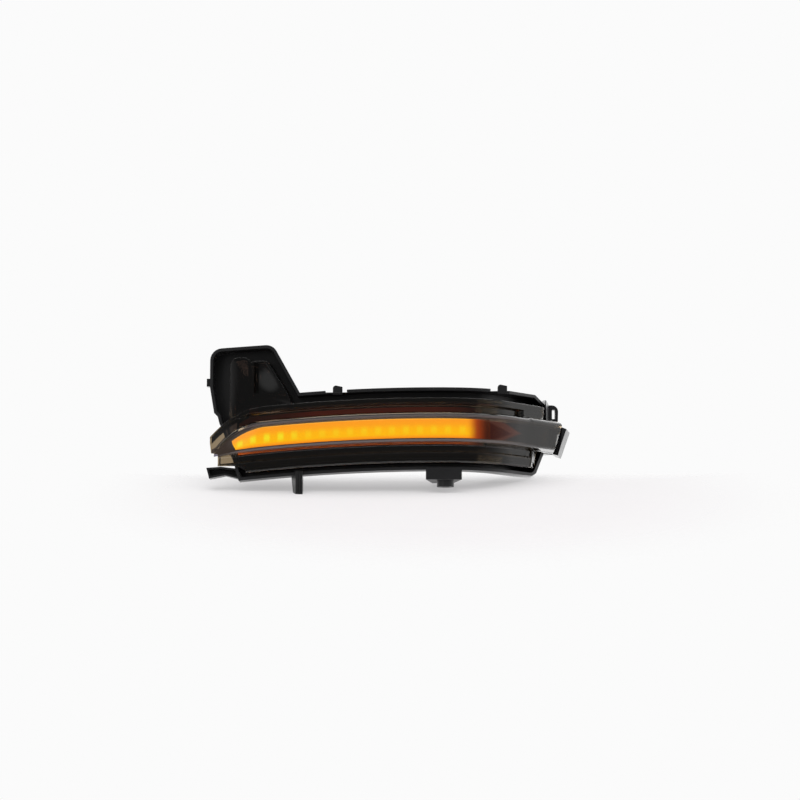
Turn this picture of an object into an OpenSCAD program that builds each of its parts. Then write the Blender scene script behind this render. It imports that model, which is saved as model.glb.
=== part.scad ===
// Mirror turn signal lamp, outboard end to the right, seen from the front along +Y.
// Millimetres, +Z up. The origin is the centre of the mouth of the mounting boss.
// A station s runs along the lamp's front curve, and a depth d points out of the front.

/* [Front curve] */
// Radius of the long shallow bow, seen from above
bow_r = 600; // [450:10:900]
// Station where the bow runs square to the view
bow_flat = -40; // [-60:1:-20]
// Front of the lens flange at that station, measured from the boss axis
bow_y = -7; // [-9:0.5:-6]
// Radius of the wrap round the mirror's outer corner
wrap_r = 55; // [50:1:70]
// Angle that the wrap reaches
wrap_angle = 52; // [46:1:56]
// Station of the arch's crown
crown_s = 5; // [0:1:15]
// Drop of the arch at the inboard tip
arch_drop = 8; // [5:0.5:10]

/* [Ends] */
// Station of the inboard tip of the lens
tip_s = -137.4; // [-142:0.2:-136]
// Station of the outboard end of the lens
end_s = 90; // [84:1:96]
// Station where the lens's upper flange ends
flange_end_x = 60.5; // [56:0.5:62]
// Right end of the lens's lower step
step_end_x = 51; // [46:0.5:53]

/* [Heights at the crown] */
// Top of the case rim
rim_top = 57.9; // [56:0.1:60]
// Top of the lens flange
flange_top = 51.8; // [51.4:0.1:53]
// Top of the groove above the lens's bulge
groove_top = 47.8; // [47:0.1:48]
// Top of the bulge
bulge_top = 42.6; // [42:0.1:43.4]
// Top of the lit window
window_top = 39.2; // [38:0.1:39.4]
// Foot of the lit window
window_foot = 27.7; // [27.6:0.1:28.4]
// Foot of the bulge
bulge_foot = 25.4; // [25:0.1:25.5]
// Foot of the recessed band under the bulge
band_foot = 19.8; // [19:0.1:21]
// Foot of the lens
lens_foot = 13.8; // [13:0.1:14.6]
// Foot of the case rim
rim_foot = 9.8; // [9:0.1:10.6]

/* [Depths] */
// How far the bulge stands out of the flange plane
bulge_out = 7; // [6:0.1:9]
// How far the groove lies behind it
groove_in = 3.2; // [2:0.1:3.6]
// Front edge of the case rim behind the flange plane
rim_in = 2; // [1:0.1:3]
// Depth of the rim's pan
pan_depth = 12; // [9:0.5:13]
// Depth of the whole case
case_depth = 23; // [20:0.5:27]

/* [Walls and fits] */
// Lens wall
lens_wall = 2; // [1.6:0.1:2.1]
// Case wall
case_wall = 1.8; // [1.4:0.1:2.2]
// Thickness of the sealing bead
bead = 0.6; // [0.4:0.1:0.8]
// Clearance between inner pieces
fit = 0.3; // [0.2:0.05:0.4]
// Wall of the light guide and the bezel
trim_wall = 1.2; // [1:0.1:1.4]

/* [Pocket] */
// Left side of the pocket
pocket_left = -137.6; // [-140:0.2:-136]
// Height of the pocket's top edge at its left corner
pocket_top = 81.6; // [78:0.2:86]
// Rise of the top edge to its right corner
pocket_rise = 1.4; // [0:0.1:3]
// Place of the top right corner
pocket_right = -99.5; // [-102:0.5:-97]
// Radius of the pocket's corners
pocket_corner = 7; // [5:0.5:9]
// Where the slanting wall meets the rim
slant_foot_x = -84.6; // [-86:0.2:-83]
// Left side of the lens's finger
finger_left = -126; // [-127:0.2:-125]
// Width of the finger
finger_w = 13; // [12:0.2:14]
// Top of the finger
finger_top = 75.8; // [73:0.2:77]

/* [Mounting boss] */
// Bore for the fixing screw
boss_bore_d = 5; // [4:0.1:6]
// Outside diameter of the stub
boss_d = 9.9; // [9:0.1:11]
// Length of the stub below its block
stub_h = 3.9; // [3:0.1:5]
// Depth of the bore
bore_depth = 9; // [7:0.5:9.5]
// Width of the block at its front
block_w = 20.8; // [18:0.2:24]
// Length of the block, front to back
block_len = 28; // [24:1:30]

/* [Locating leg] */
// Right side of the leg
leg_right = -82.6; // [-84:0.2:-80]
// Width of the leg
leg_w = 6.8; // [6:0.2:8]
// Foot of the leg
leg_foot = -4.8; // [-7:0.2:-3]

/* [Lights and boards] */
// Number of light-emitting diodes
led_count = 17; // [12:1:17]
// Pitch of the diodes
led_pitch = 8; // [7:0.1:8]
// Station of the first diode
led_first = -119; // [-119:0.5:-116]
// Thickness of both circuit boards
board_t = 1.6; // [1:0.1:1.6]
// Front of the light board behind the flange plane
board_in = 9; // [8.8:0.1:9.6]
// Width of the driver board
driver_w = 25; // [24:0.5:25.5]
// Height of the driver board
driver_h = 21.5; // [20.5:0.5:21.5]

/* [Connector] */
// Inner width of the connector shroud
shroud_w = 13; // [12:0.2:14]
// Inner height of the connector shroud
shroud_h = 8; // [7:0.2:9]
// Length of the shroud behind the case
shroud_len = 12; // [11:0.5:14]
// Pitch of the pins
pin_pitch = 3.8; // [3.4:0.1:4]

/* [Hidden] */

RAD = 180 / PI;
arch_k = arch_drop / pow(tip_s - crown_s, 2);
wrap_start = -bow_flat / bow_r * RAD;
wrap_len = (wrap_angle - wrap_start) / RAD * wrap_r;
wrap_x = bow_flat + bow_r * sin(wrap_start);
wrap_y = bow_y + bow_r * (1 - cos(wrap_start));
cut_low = -30;
cut_high = 110;
cut_front = -60;
cut_back = 130;
flange_out = 0.2;
lens_back = lens_wall - flange_out;
bead_gap = 0.1;
bead_front = lens_back + bead_gap;
seat_in = bead_front + bead + bead_gap;
bulge_start = -100;
bulge_fade = bulge_start - tip_s - 2.4;
bulge_drop = 14.5;
groove_bend = -112;
groove_drop = 11.6;
groove_rise = -108;
groove_rise_run = 14;
flange_bend = -105;
flange_drop = 2.8;
window_bend = -104;
window_run = 20.2;
window_drop = 6.2;
board_back = board_in + board_t;
box_floor = case_depth - case_wall;
glow_gap = 1.5;
bezel_back = -1.6;
board_end = led_first + (led_count - 1) * led_pitch + 11;
guide_end = board_end + 5.3;
guide_start = -121.4;
pocket_s = -112;
driver_in = 10.5;
block_back = 8.2;
block_wall = 1.6;
pocket_seat = block_back + bead + 2 * bead_gap;
groove_end = 58;
driver_left = -11.9;
driver_foot = 48.5;
screw_r = 1;
screw_head_r = 2;
screw_head_h = 1.4;
post_r = 2.6;
pilot_r = 1.05;
board_hole_r = 1.3;
screw_len = 8;
led_w = 3.5;
led_h = 2;
screw_z = 33;
light_screws = [for (k = [1, 8, 14]) led_first + (k + 0.5) * led_pitch];
lug_places = [-65.4, 31];
driver_posts = [[3, 3], [driver_w - 3, 3], [3, driver_h - 3]];
pin_x = driver_left + 10;
pin_z = driver_foot + 19;
pin_side = 0.8;
pin_out = 6.5;
carrier_t = 3;
vent_s = -30;
vent_z = 35;
vent_d = 5;
tray_s = -128;
clip_s = -137;
clip_z = 59.4;

// Angle of the front curve at a station: a shallow bow, then the wrap, then a straight run.
function turn(s) = s <= 0 ? (s - bow_flat) / bow_r * RAD
    : min(wrap_angle, wrap_start + s / wrap_r * RAD);

function curve(s) = s <= 0
    ? [bow_flat + bow_r * sin(turn(s)), bow_y + bow_r * (1 - cos(turn(s)))]
    : [wrap_x + wrap_r * (sin(turn(s)) - sin(wrap_start)),
       wrap_y + wrap_r * (cos(wrap_start) - cos(turn(s)))]
        + max(0, s - wrap_len) * [cos(wrap_angle), sin(wrap_angle)];

function place(s, d) = curve(s) + d * [sin(turn(s)), -cos(turn(s))];

// A height at the crown, carried to a station along the arch.
function arched(z, s) = z - arch_k * pow(min(0, s - crown_s), 2);

function ramp(x) = min(1, max(0, x));

// Stations between two ends, closer together round the wrap.
function stations(a, b) = concat([a],
    [for (s = [-136 : 8 : -108]) if (s > a + 1 && s < b - 1) s],
    [for (s = [-96 : 12 : 0]) if (s > a + 1 && s < b - 1) s],
    [for (s = [4 : 4 : 48]) if (s > a + 1 && s < b - 1) s], [b]);

function fine_stations(a, b) = concat([a],
    [for (s = [-136 : 2 : -98]) if (s > a + 0.5 && s < b - 0.5) s],
    [for (s = [-90 : 10 : 0]) if (s > a + 0.5 && s < b - 0.5) s],
    [for (s = [4 : 4 : 48]) if (s > a + 0.5 && s < b - 0.5) s],
    [for (s = [groove_end - 0.5, groove_end + 0.5]) if (s < b - 0.5) s], [b]);

function reversed(list) = [for (i = [len(list) - 1 : -1 : 0]) list[i]];

function unit(v) = v / norm(v);

// An anticlockwise outline moved inwards by w at each side.
function inset(p, w) = [for (i = [0 : len(p) - 1])
    let (u = unit(p[i] - p[(i + len(p) - 1) % len(p)]),
         v = unit(p[(i + 1) % len(p)] - p[i]),
         n1 = [-u[1], u[0]],
         n2 = [-v[1], v[0]])
    p[i] + w * (n1 + n2) / (1 + n1 * n2)];

function arc(c, r, a0, a1, n = 6) = [for (i = [0 : n])
    let (a = a0 + (a1 - a0) * i / n) c + r * [cos(a), sin(a)]];

// Heights of the lens's bands; they run down to the tip at the inboard end.
function tip_fade(s) = ramp((bulge_start - s) / bulge_fade);
function bulge_z(s) = arched(bulge_top, s) - bulge_drop * pow(tip_fade(s), 2.8);
function bulge_d(s) = bulge_out * (1 - pow(tip_fade(s), 2.2));
function groove_z(s) = arched(groove_top, s)
    - groove_drop * pow(ramp((groove_bend - s) / (groove_bend - tip_s)), 1.9);
function flange_z(s) = groove_z(s) + (flange_top - groove_top)
    - flange_drop * ramp((flange_bend - s) / (flange_bend - tip_s));
function groove_d(s) = flange_out - (groove_in + flange_out)
    * (1 - ramp((groove_rise - s) / groove_rise_run)) * (1 - ramp(s - groove_end + 0.5));
function guide_d(s) = bulge_d(s) - lens_wall - glow_gap;
function window_z(s) = arched(window_top, s)
    - window_drop * pow(ramp((window_bend - s) / window_run), 1.9);

// Outline of the case rim and its pocket, anticlockwise from the lower left.
slant_dir = unit([pocket_right - slant_foot_x, pocket_top + pocket_rise - arched(rim_top, slant_foot_x)]);
case_outline = concat(
    [[-122.6, 13], [-121.8, 9], [-120, arched(rim_foot, -120)]],
    [for (x = [-108 : 12 : 0]) [x, arched(rim_foot, x)]],
    [[crown_s, rim_foot], [step_end_x + 1.6, rim_foot - 0.4], [step_end_x + 4.4, rim_foot + 1.6],
     [flange_end_x, bulge_foot - 1.7], [85, bulge_foot - 1.7], [85, bulge_top + 0.6],
     [flange_end_x + 1.8, bulge_top + 0.6], [flange_end_x + 1.8, rim_top - 4.9],
     [flange_end_x - 5.3, rim_top + 0.7], [crown_s, rim_top]],
    [for (x = [-4 : -12 : -76]) [x, arched(rim_top, x)]],
    [[slant_foot_x, arched(rim_top, slant_foot_x)]],
    arc([pocket_right - 5, pocket_top + pocket_rise - pocket_corner], pocket_corner, 30, 92),
    arc([pocket_left + pocket_corner, pocket_top - pocket_corner], pocket_corner, 92, 180),
    [[pocket_left, 59], [-134.9, 43.5], [-132.8, 41.5], [-131.6, 37], [-129.5, 33]]);

// Outline of the light box behind the strip, anticlockwise from the lower left.
box_outline = concat(
    [[-121.3, lens_foot - 1.4]],
    [for (x = [-114 : 12 : 0]) [x, arched(lens_foot + 0.4, x)]],
    [[crown_s, lens_foot + 0.4], [step_end_x - 1.2, lens_foot + 0.4], [step_end_x + 1.6, bulge_foot + 1.2],
     [85, bulge_foot + 1.2], [85, bulge_top - 1], [flange_end_x - 1.2, bulge_top - 1],
     [flange_end_x - 0.4, flange_top - 0.4], [crown_s, flange_top - 0.4]],
    [for (x = [-8 : -12 : -116]) [x, arched(flange_top - 0.4, x)]],
    [[-124.6, 41], [-127.6, 35.5]]);

// Solid of a front outline, cut straight through along Y.
module front_cut(outline) {
    translate([0, cut_back, 0])
        rotate([90, 0, 0])
            linear_extrude(cut_back - cut_front)
                polygon(outline);
}

// Wall that follows the front curve between two depths, over its full height.
module curved_slab(s0, s1, d0, d1) {
    stops = stations(s0, s1);
    translate([0, 0, cut_low])
        linear_extrude(cut_high - cut_low)
            polygon(concat([for (s = stops) place(s, d1)], reversed([for (s = stops) place(s, d0)])));
}

// Strip that follows both the front curve and the arch.
module arched_strip(s0, s1, d0, d1, z0, z1) {
    margin = 20;
    stops = concat(stations(s0, min(s1, 0)), s1 > 0 ? [crown_s, s1 + margin] : []);
    intersection() {
        curved_slab(s0, s1, d0, d1);
        front_cut(concat([[s0 - margin, arched(z0, s0)]], [for (s = stops) [s, arched(z0, s)]],
            reversed([for (s = stops) [s, arched(z1, s)]]), [[s0 - margin, arched(z1, s0)]]));
    }
}

// Carries a piece to a station: local X runs along the curve and local Y runs back into the case.
module at_station(s) {
    translate(concat(place(s, 0), [0]))
        rotate([0, 0, turn(s)])
            children();
}

// Skin of rings: each station's section is a closed list of depth and height, whose first point
// faces the last across the wall, the second the last but one, and so on.
module sweep(stops, section) {
    n = len(section(stops[0]));
    last = (len(stops) - 1) * n;
    points = [for (s = stops) for (p = section(s)) concat(place(s, p[0]), [p[1]])];
    sides = [for (i = [0 : len(stops) - 2]) for (j = [0 : n - 1])
        let (a = i * n + j, b = i * n + (j + 1) % n)
        each [[a, a + n, b], [b, a + n, b + n]]];
    caps = [for (j = [0 : n / 2 - 2]) let (p = n - 1 - j)
        each [[j, j + 1, p], [j + 1, p - 1, p], [last + j, last + p, last + j + 1],
              [last + j + 1, last + p, last + p - 1]]];
    polyhedron(points, concat(sides, caps), convexity = 8);
}

// Lens section: flange, groove, rounded bulge, recessed band and lower step, then back up inside.
// The first point pairs with the last, the second with the last but one, and so on.
function lens_section(s) =
    let (zf = flange_z(s), zg = groove_z(s), zb = bulge_z(s), foot = arched(bulge_foot, s),
         zl = arched(band_foot, s), zs = arched(lens_foot, s),
         e = min(1, (zb - foot) / 10), f = flange_out, g = groove_d(s), b = bulge_d(s),
         k = b / bulge_out, n = -0.4 - 0.6 * tip_fade(s), t = lens_wall, i = f - t,
         mid = (zb + foot) / 2, h = zf - zg)
    [[f - 0.5, zf], [f, zf - 0.12 * h], [f, zg + 0.05 * h], [f - 0.1, zg], [g, zg - 0.6],
     [g, zb + 1.0], [g + 0.55 * (b - g), zb + 0.7], [g + 0.8 * (b - g), zb - 0.2 * e],
     [g + 0.93 * (b - g), zb - 1.4 * e], [g + 0.99 * (b - g), zb - 3.6 * e], [b, mid],
     [n + 0.98 * (b - n), foot + 2.6 * e], [n + 0.92 * (b - n), foot + 1.0 * e],
     [n + 0.8 * (b - n), foot + 0.1], [n + 0.2 * (b - n), foot - 0.8], [n, foot - 1.6],
     [n, zl + 0.9], [f, zl - 0.1], [f + 0.2, zl - 1.0], [f, zs + 1], [f - 0.5, zs],
     [i, zs], [i, zs + 1], [i, zl - 1.0], [i, zl], [i, zl + 1.2], [i, foot - 1.1],
     [i + 0.25 * (b - i), foot + 0.3 * e], [b - t - 0.8 * k, foot + 1.0 * e],
     [b - t - 0.3 * k, foot + 2.0 * e], [b - t, foot + 4.2 * e],
     [b - t + 0.1, mid], [b - t, zb - 4.6 * e], [b - t - 0.3 * k, zb - 3.2 * e],
     [b - t - 0.9 * k, zb - 2.3 * e], [g - t + 0.45 * (b - g), zb - 1.2 * e], [g - t, zb - 1.0 * e],
     [g - t, zg + 0.27 * h], [i - 0.1, zg + 0.32 * h], [i, zg + 0.38 * h], [i, zf - 0.12 * h], [i, zf]];

// Front outline of the lens's strip, anticlockwise from the inboard tip.
lens_outline = [[tip_s + 1.2, 19.6], [-132.3, 19], [-132.3, 12.1], [-116.3, 12.1], [-114.5, 0],
    [step_end_x - 1.4, 0], [step_end_x + 2.4, bulge_foot - 1.4], [end_s - 23.7, bulge_foot - 1.4],
    [end_s - 17.4, bulge_top + 0.8], [flange_end_x - 0.7, bulge_top + 0.8],
    [flange_end_x + 0.6, flange_top + 1], [flange_end_x + 0.6, 70], [tip_s - 1, 70],
    [tip_s, 28.8]];

// Hollow panel that the lens raises into the pocket, in the pocket's own frame: a finger, a foot
// and a sail-shaped recess whose floor slants back towards the finger.
finger_l = finger_left - pocket_s;
finger_r = finger_l + finger_w;
slant_low = [-91.4 - pocket_s, 53.6];
slant_high = [-102.9 - pocket_s, 71.9];
panel_top = concat([[-89.6 - pocket_s, 48.2], slant_low], arc(slant_high - [2.4, 0.6], 2.4, 32, 90, 4),
    [[finger_r + 1.4, slant_high[1] + 1.8]], arc([finger_r - 5, finger_top - 5], 5, 25, 90),
    arc([finger_l + 5, finger_top - 5], 5, 90, 180));
panel_outline = concat([[finger_l, 40], [24, 46.6]], panel_top);
pocket_box = concat([[finger_l, 36.5], [22.4, 41]], panel_top);
sail_outline = concat([[finger_r + 0.4, slant_low[1]], slant_low - [0.3, 0]],
    arc(slant_high - [2.9, 1], 2.4, 32, 90, 4), [[finger_r + 0.4, slant_high[1] + 1.4]]);
sail_turn = 13;
panel_front = 0.4;
panel_back = panel_front + lens_wall + 0.5;
sail_front = 1.2;
sail_rim = 1;

module pocket_plate(outline, y0, y1) {
    translate([0, y1, 0])
        rotate([90, 0, 0])
            linear_extrude(y1 - y0)
                polygon(outline);
}

// Half of space in front of the sail's floor, or behind it when y0 is 0.
module sail_side(y, y0) {
    translate([slant_low[0], y, 0])
        rotate([0, 0, -sail_turn])
            translate([-60, y0, 0])
                cube([90, 60, 110]);
}

module lens_panel() {
    difference() {
        union() {
            difference() {
                pocket_plate(panel_outline, panel_front, block_back);
                pocket_plate(inset(panel_outline, block_wall), panel_back, block_back + 1);
                pocket_plate([[finger_l + block_wall, 30], [20, 30], [20, 50],
                    [finger_l + block_wall, 50]], panel_back, block_back + 1);
            }
            pocket_plate(sail_outline, panel_front + 0.2, block_back);
        }
        intersection() {
            pocket_plate(inset(sail_outline, sail_rim), -1, block_back + 1);
            union() {
                sail_side(sail_front, -60);
                sail_side(sail_front + lens_wall, 0);
            }
        }
    }
}

module lens() {
    color([0.17, 0.16, 0.16, 0.75]) {
        intersection() {
            sweep(fine_stations(tip_s, end_s), function(s) lens_section(s));
            front_cut(lens_outline);
        }
        at_station(pocket_s)
            lens_panel();
    }
}

// Space that the lens's raised panel fills, with its clearance.
module panel_space() {
    at_station(pocket_s)
        pocket_plate(inset(panel_outline, -fit), -9, block_back + fit);
}

module housing_strip() {
    difference() {
        union() {
            intersection() {
                curved_slab(-145, end_s + fit + case_wall, -rim_in, -rim_in - pan_depth);
                front_cut(case_outline);
            }
            intersection() {
                curved_slab(-145, end_s + fit + case_wall, -seat_in, -case_depth);
                front_cut(box_outline);
            }
            at_station(pocket_s)
                pocket_plate(pocket_box, pocket_seat, case_depth);
            back_ribs();
        }
        difference() {
            intersection() {
                curved_slab(-150, end_s + fit, 10, -rim_in - pan_depth + case_wall);
                front_cut(inset(case_outline, case_wall));
            }
            front_cut(box_outline);
            at_station(pocket_s)
                pocket_plate(pocket_box, -9, 40);
        }
        intersection() {
            curved_slab(-145, end_s + fit, 10, -box_floor);
            front_cut(inset(box_outline, case_wall));
        }
        intersection() {
            curved_slab(-145, end_s + fit, 10, -seat_in);
            front_cut(box_outline);
        }
        at_station(pocket_s) {
            pocket_plate(pocket_box, -9, pocket_seat);
            pocket_plate(inset(pocket_box, case_wall), -9, box_floor);
        }
        panel_space();
        rim_notches();
    }
}

// Stiffening ribs across the back.
module back_ribs() {
    for (s = [-84, -62, -18, 16])
        at_station(s)
            translate([-0.7, rim_in + pan_depth - 0.5, arched(rim_foot + 1.2, s)])
                cube([1.4, case_depth - rim_in - pan_depth + 2, rim_top - rim_foot - 2.4]);
}

// Shallow steps in the rim's top edge, one round each lug.
module rim_notches() {
    for (x = lug_places)
        translate([x - 4.2, -30, arched(rim_top, x) - 1.2])
            cube([12.4, 47, 8]);
}

// Small hooked lug on the rim's top edge.
module rim_lug(x) {
    z = arched(rim_top, x) - 2.4;
    y = place(x, -rim_in)[1] + 1;
    translate([x, y + 5, z])
        rotate([90, 0, 0])
            linear_extrude(5)
                polygon(concat([[0, 0], [5.6, 0], [5.6, 4.6]], arc([1.8, 3.6], 1.8, 90, 180, 5)));
}

module mounting_boss() {
    front = bow_y + 1;
    top = rim_foot + 1;
    difference() {
        union() {
            translate([0, 0, stub_h])
                linear_extrude(top - stub_h)
                    polygon([[-block_w / 2 - 1, front], [block_w / 2 - 1, front],
                        [block_w / 4, front + block_len], [-block_w / 4 - 2, front + block_len]]);
            cylinder(h = top, d = boss_d, $fn = 64);
        }
        translate([0, 0, -1])
            cylinder(h = bore_depth + 1, d = boss_bore_d, $fn = 48);
    }
}

module locating_leg() {
    left = leg_right - leg_w;
    front = place(leg_right, -rim_in)[1] - 2.6;
    difference() {
        intersection() {
            translate([0, 0, leg_foot - 1])
                linear_extrude(rim_foot - leg_foot)
                    polygon([[left, front + 8], [left + 2.8, front], [leg_right, front],
                        [leg_right, front + 9]]);
            front_cut([[left + 1.1, leg_foot + 1.2], [left + 2.9, leg_foot + 0.3],
                [leg_right, leg_foot], [leg_right, rim_foot], [left, rim_foot], [left, 5]]);
        }
        for (x = [leg_right - 2.6, leg_right - 1.2])
            translate([x, front - 1, leg_foot - 2])
                cube([0.5, 1.4, 40]);
    }
}

// Shallow tray at the lower left, hooked under the mirror's scalp.
module flag_tab() {
    y = place(tray_s, -rim_in)[1];
    outline = [[-137.3, 5.1], [-128, 6.9], [-117.2, 4.2], [-120.6, 10.8], [-130.4, 11.9], [-139, 11.3]];
    translate([0, y + 9, 0])
        rotate([90, 0, 0])
            difference() {
                linear_extrude(9)
                    polygon(outline);
                translate([0, 0, 1.6])
                    linear_extrude(9)
                        polygon(inset(outline, 1.1));
            }
}

// Fin that closes the bulge's outboard end; its outer face turns further back.
module end_tab() {
    edge = place(end_s + fit, bulge_out);
    difference() {
        translate([edge[0] - 6.2, edge[1], bulge_foot - 1.4])
            rotate([0, 19.5, 0])
                linear_extrude(16.8)
                    polygon([[0, 0.2], [3, 0.9], [6.2, 13.6], [3.6, 15.2], [-1.6, 8], [-7, 12], [-8.2, 8]]);
        curved_slab(40, end_s + fit, bulge_out + 5, -bead_front);
    }
}

// Rounded ear behind the flange's outboard end.
module ear() {
    x = flange_end_x;
    translate([0, 62, 0])
        rotate([90, 0, 0])
            difference() {
                linear_extrude(6)
                    polygon(concat([[x - 1, 44], [x + 9.6, 44]], arc([x + 6, 50.6], 3.8, 0, 90),
                        [[x - 1, 54.4]]));
                translate([x + 6, 46, -1])
                    cube([1.8, 5.6, 8]);
            }
}

// Side wall of the rim at the outboard end, splayed a little outwards.
module rim_flare() {
    x = flange_end_x;
    y = place(end_s - 9, 0)[1];
    intersection() {
        translate([0, 0, bulge_top + 1.4])
            linear_extrude(rim_top - bulge_top)
                polygon([[x + 1.2, y + 1.8], [x + 1.5, y + 0.6], [x + 6.6, y + 20], [x + 4.6, y + 20.6],
                    [x, y + 15]]);
        front_cut([[x - 9, bulge_top], [x + 8, bulge_top], [x + 8, rim_top - 7],
            [x - 2, rim_top + 0.9], [x - 9, rim_top + 0.6]]);
    }
}

module connector_shroud() {
    at_station(pocket_s)
        translate([pin_x - shroud_w / 2 - case_wall, box_floor + 0.2, pin_z - shroud_h / 2 - case_wall])
            difference() {
                cube([shroud_w + 2 * case_wall, shroud_len + case_wall, shroud_h + 2 * case_wall]);
                translate([case_wall, case_wall + 0.4, case_wall])
                    cube([shroud_w, shroud_len + 9, shroud_h]);
            }
}

module board_posts() {
    for (s = light_screws)
        at_station(s)
            translate([0, board_back + 0.1, arched(screw_z, s)])
                rotate([-90, 0, 0])
                    cylinder(h = box_floor - board_back + 0.6, r = post_r, $fn = 32);
    at_station(pocket_s)
        for (p = driver_posts)
            translate([driver_left + p[0], driver_in + board_t, driver_foot + p[1]])
                rotate([-90, 0, 0])
                    cylinder(h = box_floor - driver_in - board_t + 0.6, r = post_r, $fn = 32);
}

module pilot_holes() {
    for (s = light_screws)
        at_station(s)
            translate([0, board_back - 1, arched(screw_z, s)])
                rotate([-90, 0, 0])
                    cylinder(h = screw_len + 1, r = pilot_r, $fn = 24);
    at_station(pocket_s)
        for (p = driver_posts)
            translate([driver_left + p[0], driver_in, driver_foot + p[1]])
                rotate([-90, 0, 0])
                    cylinder(h = screw_len + 1, r = pilot_r, $fn = 24);
}

module housing() {
    color([0.15, 0.15, 0.16])
        difference() {
            union() {
                housing_strip();
                mounting_boss();
                locating_leg();
                flag_tab();
                end_tab();
                ear();
                rim_flare();
                for (x = lug_places)
                    rim_lug(x);
                connector_shroud();
                board_posts();
                translate([pocket_left - 2, place(clip_s, -rim_in)[1] + 2, clip_z])
                    cube([4, 5, 4.6]);
            }
            pilot_holes();
            at_station(pocket_s)
                translate([pin_x - 6, box_floor - 2, pin_z - 2.5])
                    cube([12, 6, 5]);
            vent_bore();
        }
}

module vent_bore() {
    at_station(vent_s)
        translate([0, box_floor - 1, vent_z])
            rotate([-90, 0, 0])
                cylinder(h = 6, d = vent_d, $fn = 40);
}

module vent_cap() {
    color([0.75, 0.75, 0.76])
        at_station(vent_s)
            translate([0, box_floor + 0.4, vent_z])
                rotate([-90, 0, 0]) {
                    cylinder(h = 3.4, d = vent_d - 0.2, $fn = 40);
                    translate([0, 0, case_wall - 0.2])
                        cylinder(h = 1.6, d = 9, $fn = 48);
                }
}

module seal_bead() {
    color([0.1, 0.1, 0.1]) {
        difference() {
            intersection() {
                curved_slab(-145, end_s - 3, -bead_front, -bead_front - bead);
                front_cut(inset(box_outline, 0.1));
            }
            intersection() {
                curved_slab(-150, end_s - 4.6, 5, -9);
                front_cut(inset(box_outline, case_wall - 0.1));
            }
            panel_space();
        }
        at_station(pocket_s)
            difference() {
                pocket_plate(inset(pocket_box, 0.1), block_back + bead_gap, block_back + bead_gap + bead);
                pocket_plate(inset(pocket_box, block_wall - 0.1), 0, 20);
                pocket_plate([[-30, 0], [40, 0], [40, 47.5], [-30, 41.5]], 0, 20);
            }
    }
}

function bezel_top(s) = let (z = window_z(s), o = guide_d(s) + 0.2)
    [[o, z], [o, z + 0.6], [o - 1.3, z + 1], [bezel_back, z + 1], [bezel_back, z + 0.1], [o - 1.1, z]];

function bezel_foot(s) = let (z = arched(window_foot, s), o = guide_d(s) + 0.2)
    [[o - 1.1, z], [bezel_back, z - 0.1], [bezel_back, z - 1], [o - 1.3, z - 1], [o, z - 0.6], [o, z]];

// Dark screen that fills the window past the light guide's end.
function bezel_end(s) = let (z = window_z(s) + 0.7, foot = arched(window_foot, s) - 0.7)
    [[bezel_back + trim_wall, z], [bezel_back, z], [bezel_back, foot], [bezel_back + trim_wall, foot]];

function bezel_panel(s) = let (z = arched(window_foot - 3.4, s), foot = arched(lens_foot + 3, s))
    [[-3.2, z], [-3.2 - trim_wall, z], [-3.2 - trim_wall, foot], [-3.2, foot]];

// Web that carries the screen back to the panel under the window.
function bezel_bridge(s) = let (z = arched(window_foot, s), foot = arched(lens_foot + 4, s))
    [[bezel_back + 1, z + 0.5], [-3.2 - trim_wall, z + 0.5], [-3.2 - trim_wall, foot],
     [-3.2, foot], [-3.2, z - 0.7], [bezel_back + 1, z - 0.7]];

module bezel() {
    left = guide_start - 0.4;
    right = end_s - 6;
    color([0.12, 0.11, 0.11]) {
        sweep(fine_stations(left, right), function(s) reversed(bezel_top(s)));
        sweep(fine_stations(left, right), function(s) reversed(bezel_foot(s)));
        sweep(stations(guide_end + fit, right), function(s) reversed(bezel_end(s)));
        sweep(stations(-111, step_end_x - 1), function(s) reversed(bezel_panel(s)));
        sweep(stations(guide_end + 2, step_end_x - 4), function(s) reversed(bezel_bridge(s)));
    }
}

// Light guide: lit face, two legs, and a flange behind the groove and one under the window.
function guide_section(s) =
    let (z = window_z(s) - 0.1, foot = arched(window_foot, s) + 0.1, w = trim_wall, o = guide_d(s),
         up = groove_z(s) - 1)
    [[-5.9, up], [-5.9, z], [o, z], [o, foot], [-3.4, foot], [-3.4, foot - 3.2],
     [-3.4 - w, foot - 3.2], [-3.4 - w, foot + w], [o - 1.6, foot + w], [o - 1.6, z - w],
     [-5.9 - w, z - w], [-5.9 - w, up]];

module light_guide() {
    color([1, 0.62, 0.1])
        sweep(fine_stations(guide_start, guide_end), function(s) guide_section(s));
}

function reflector_section(s) =
    let (z = window_z(s) - trim_wall - fit, foot = arched(window_foot, s) + trim_wall + fit + 0.1,
         front = guide_d(s) - 1.6 - fit, back = -board_in + 0.2)
    [[front, z], [back, z], [back, foot], [front, foot], [front, foot + 0.8],
     [back + 1, foot + 0.8], [back + 1, z - 0.8], [front, z - 0.8]];

module reflector() {
    color([0.93, 0.93, 0.91])
        difference() {
            sweep(fine_stations(led_first - 1.9, board_end + 1), function(s) reversed(reflector_section(s)));
            for (i = [0 : led_count - 1])
                at_led(i)
                    translate([-led_w / 2 - fit, -3, -led_h / 2 - fit])
                        cube([led_w + 2 * fit, 4, led_h + 2 * fit]);
            for (s = light_screws)
                at_station(s)
                    translate([0, board_in - 3, arched(screw_z, s)])
                        rotate([-90, 0, 0])
                            cylinder(h = 4, r = screw_head_r + fit, $fn = 32);
        }
}

module at_led(i) {
    s = led_first + i * led_pitch;
    at_station(s)
        translate([0, board_in, arched(window_foot + 4.1, s)])
            children();
}

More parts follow.
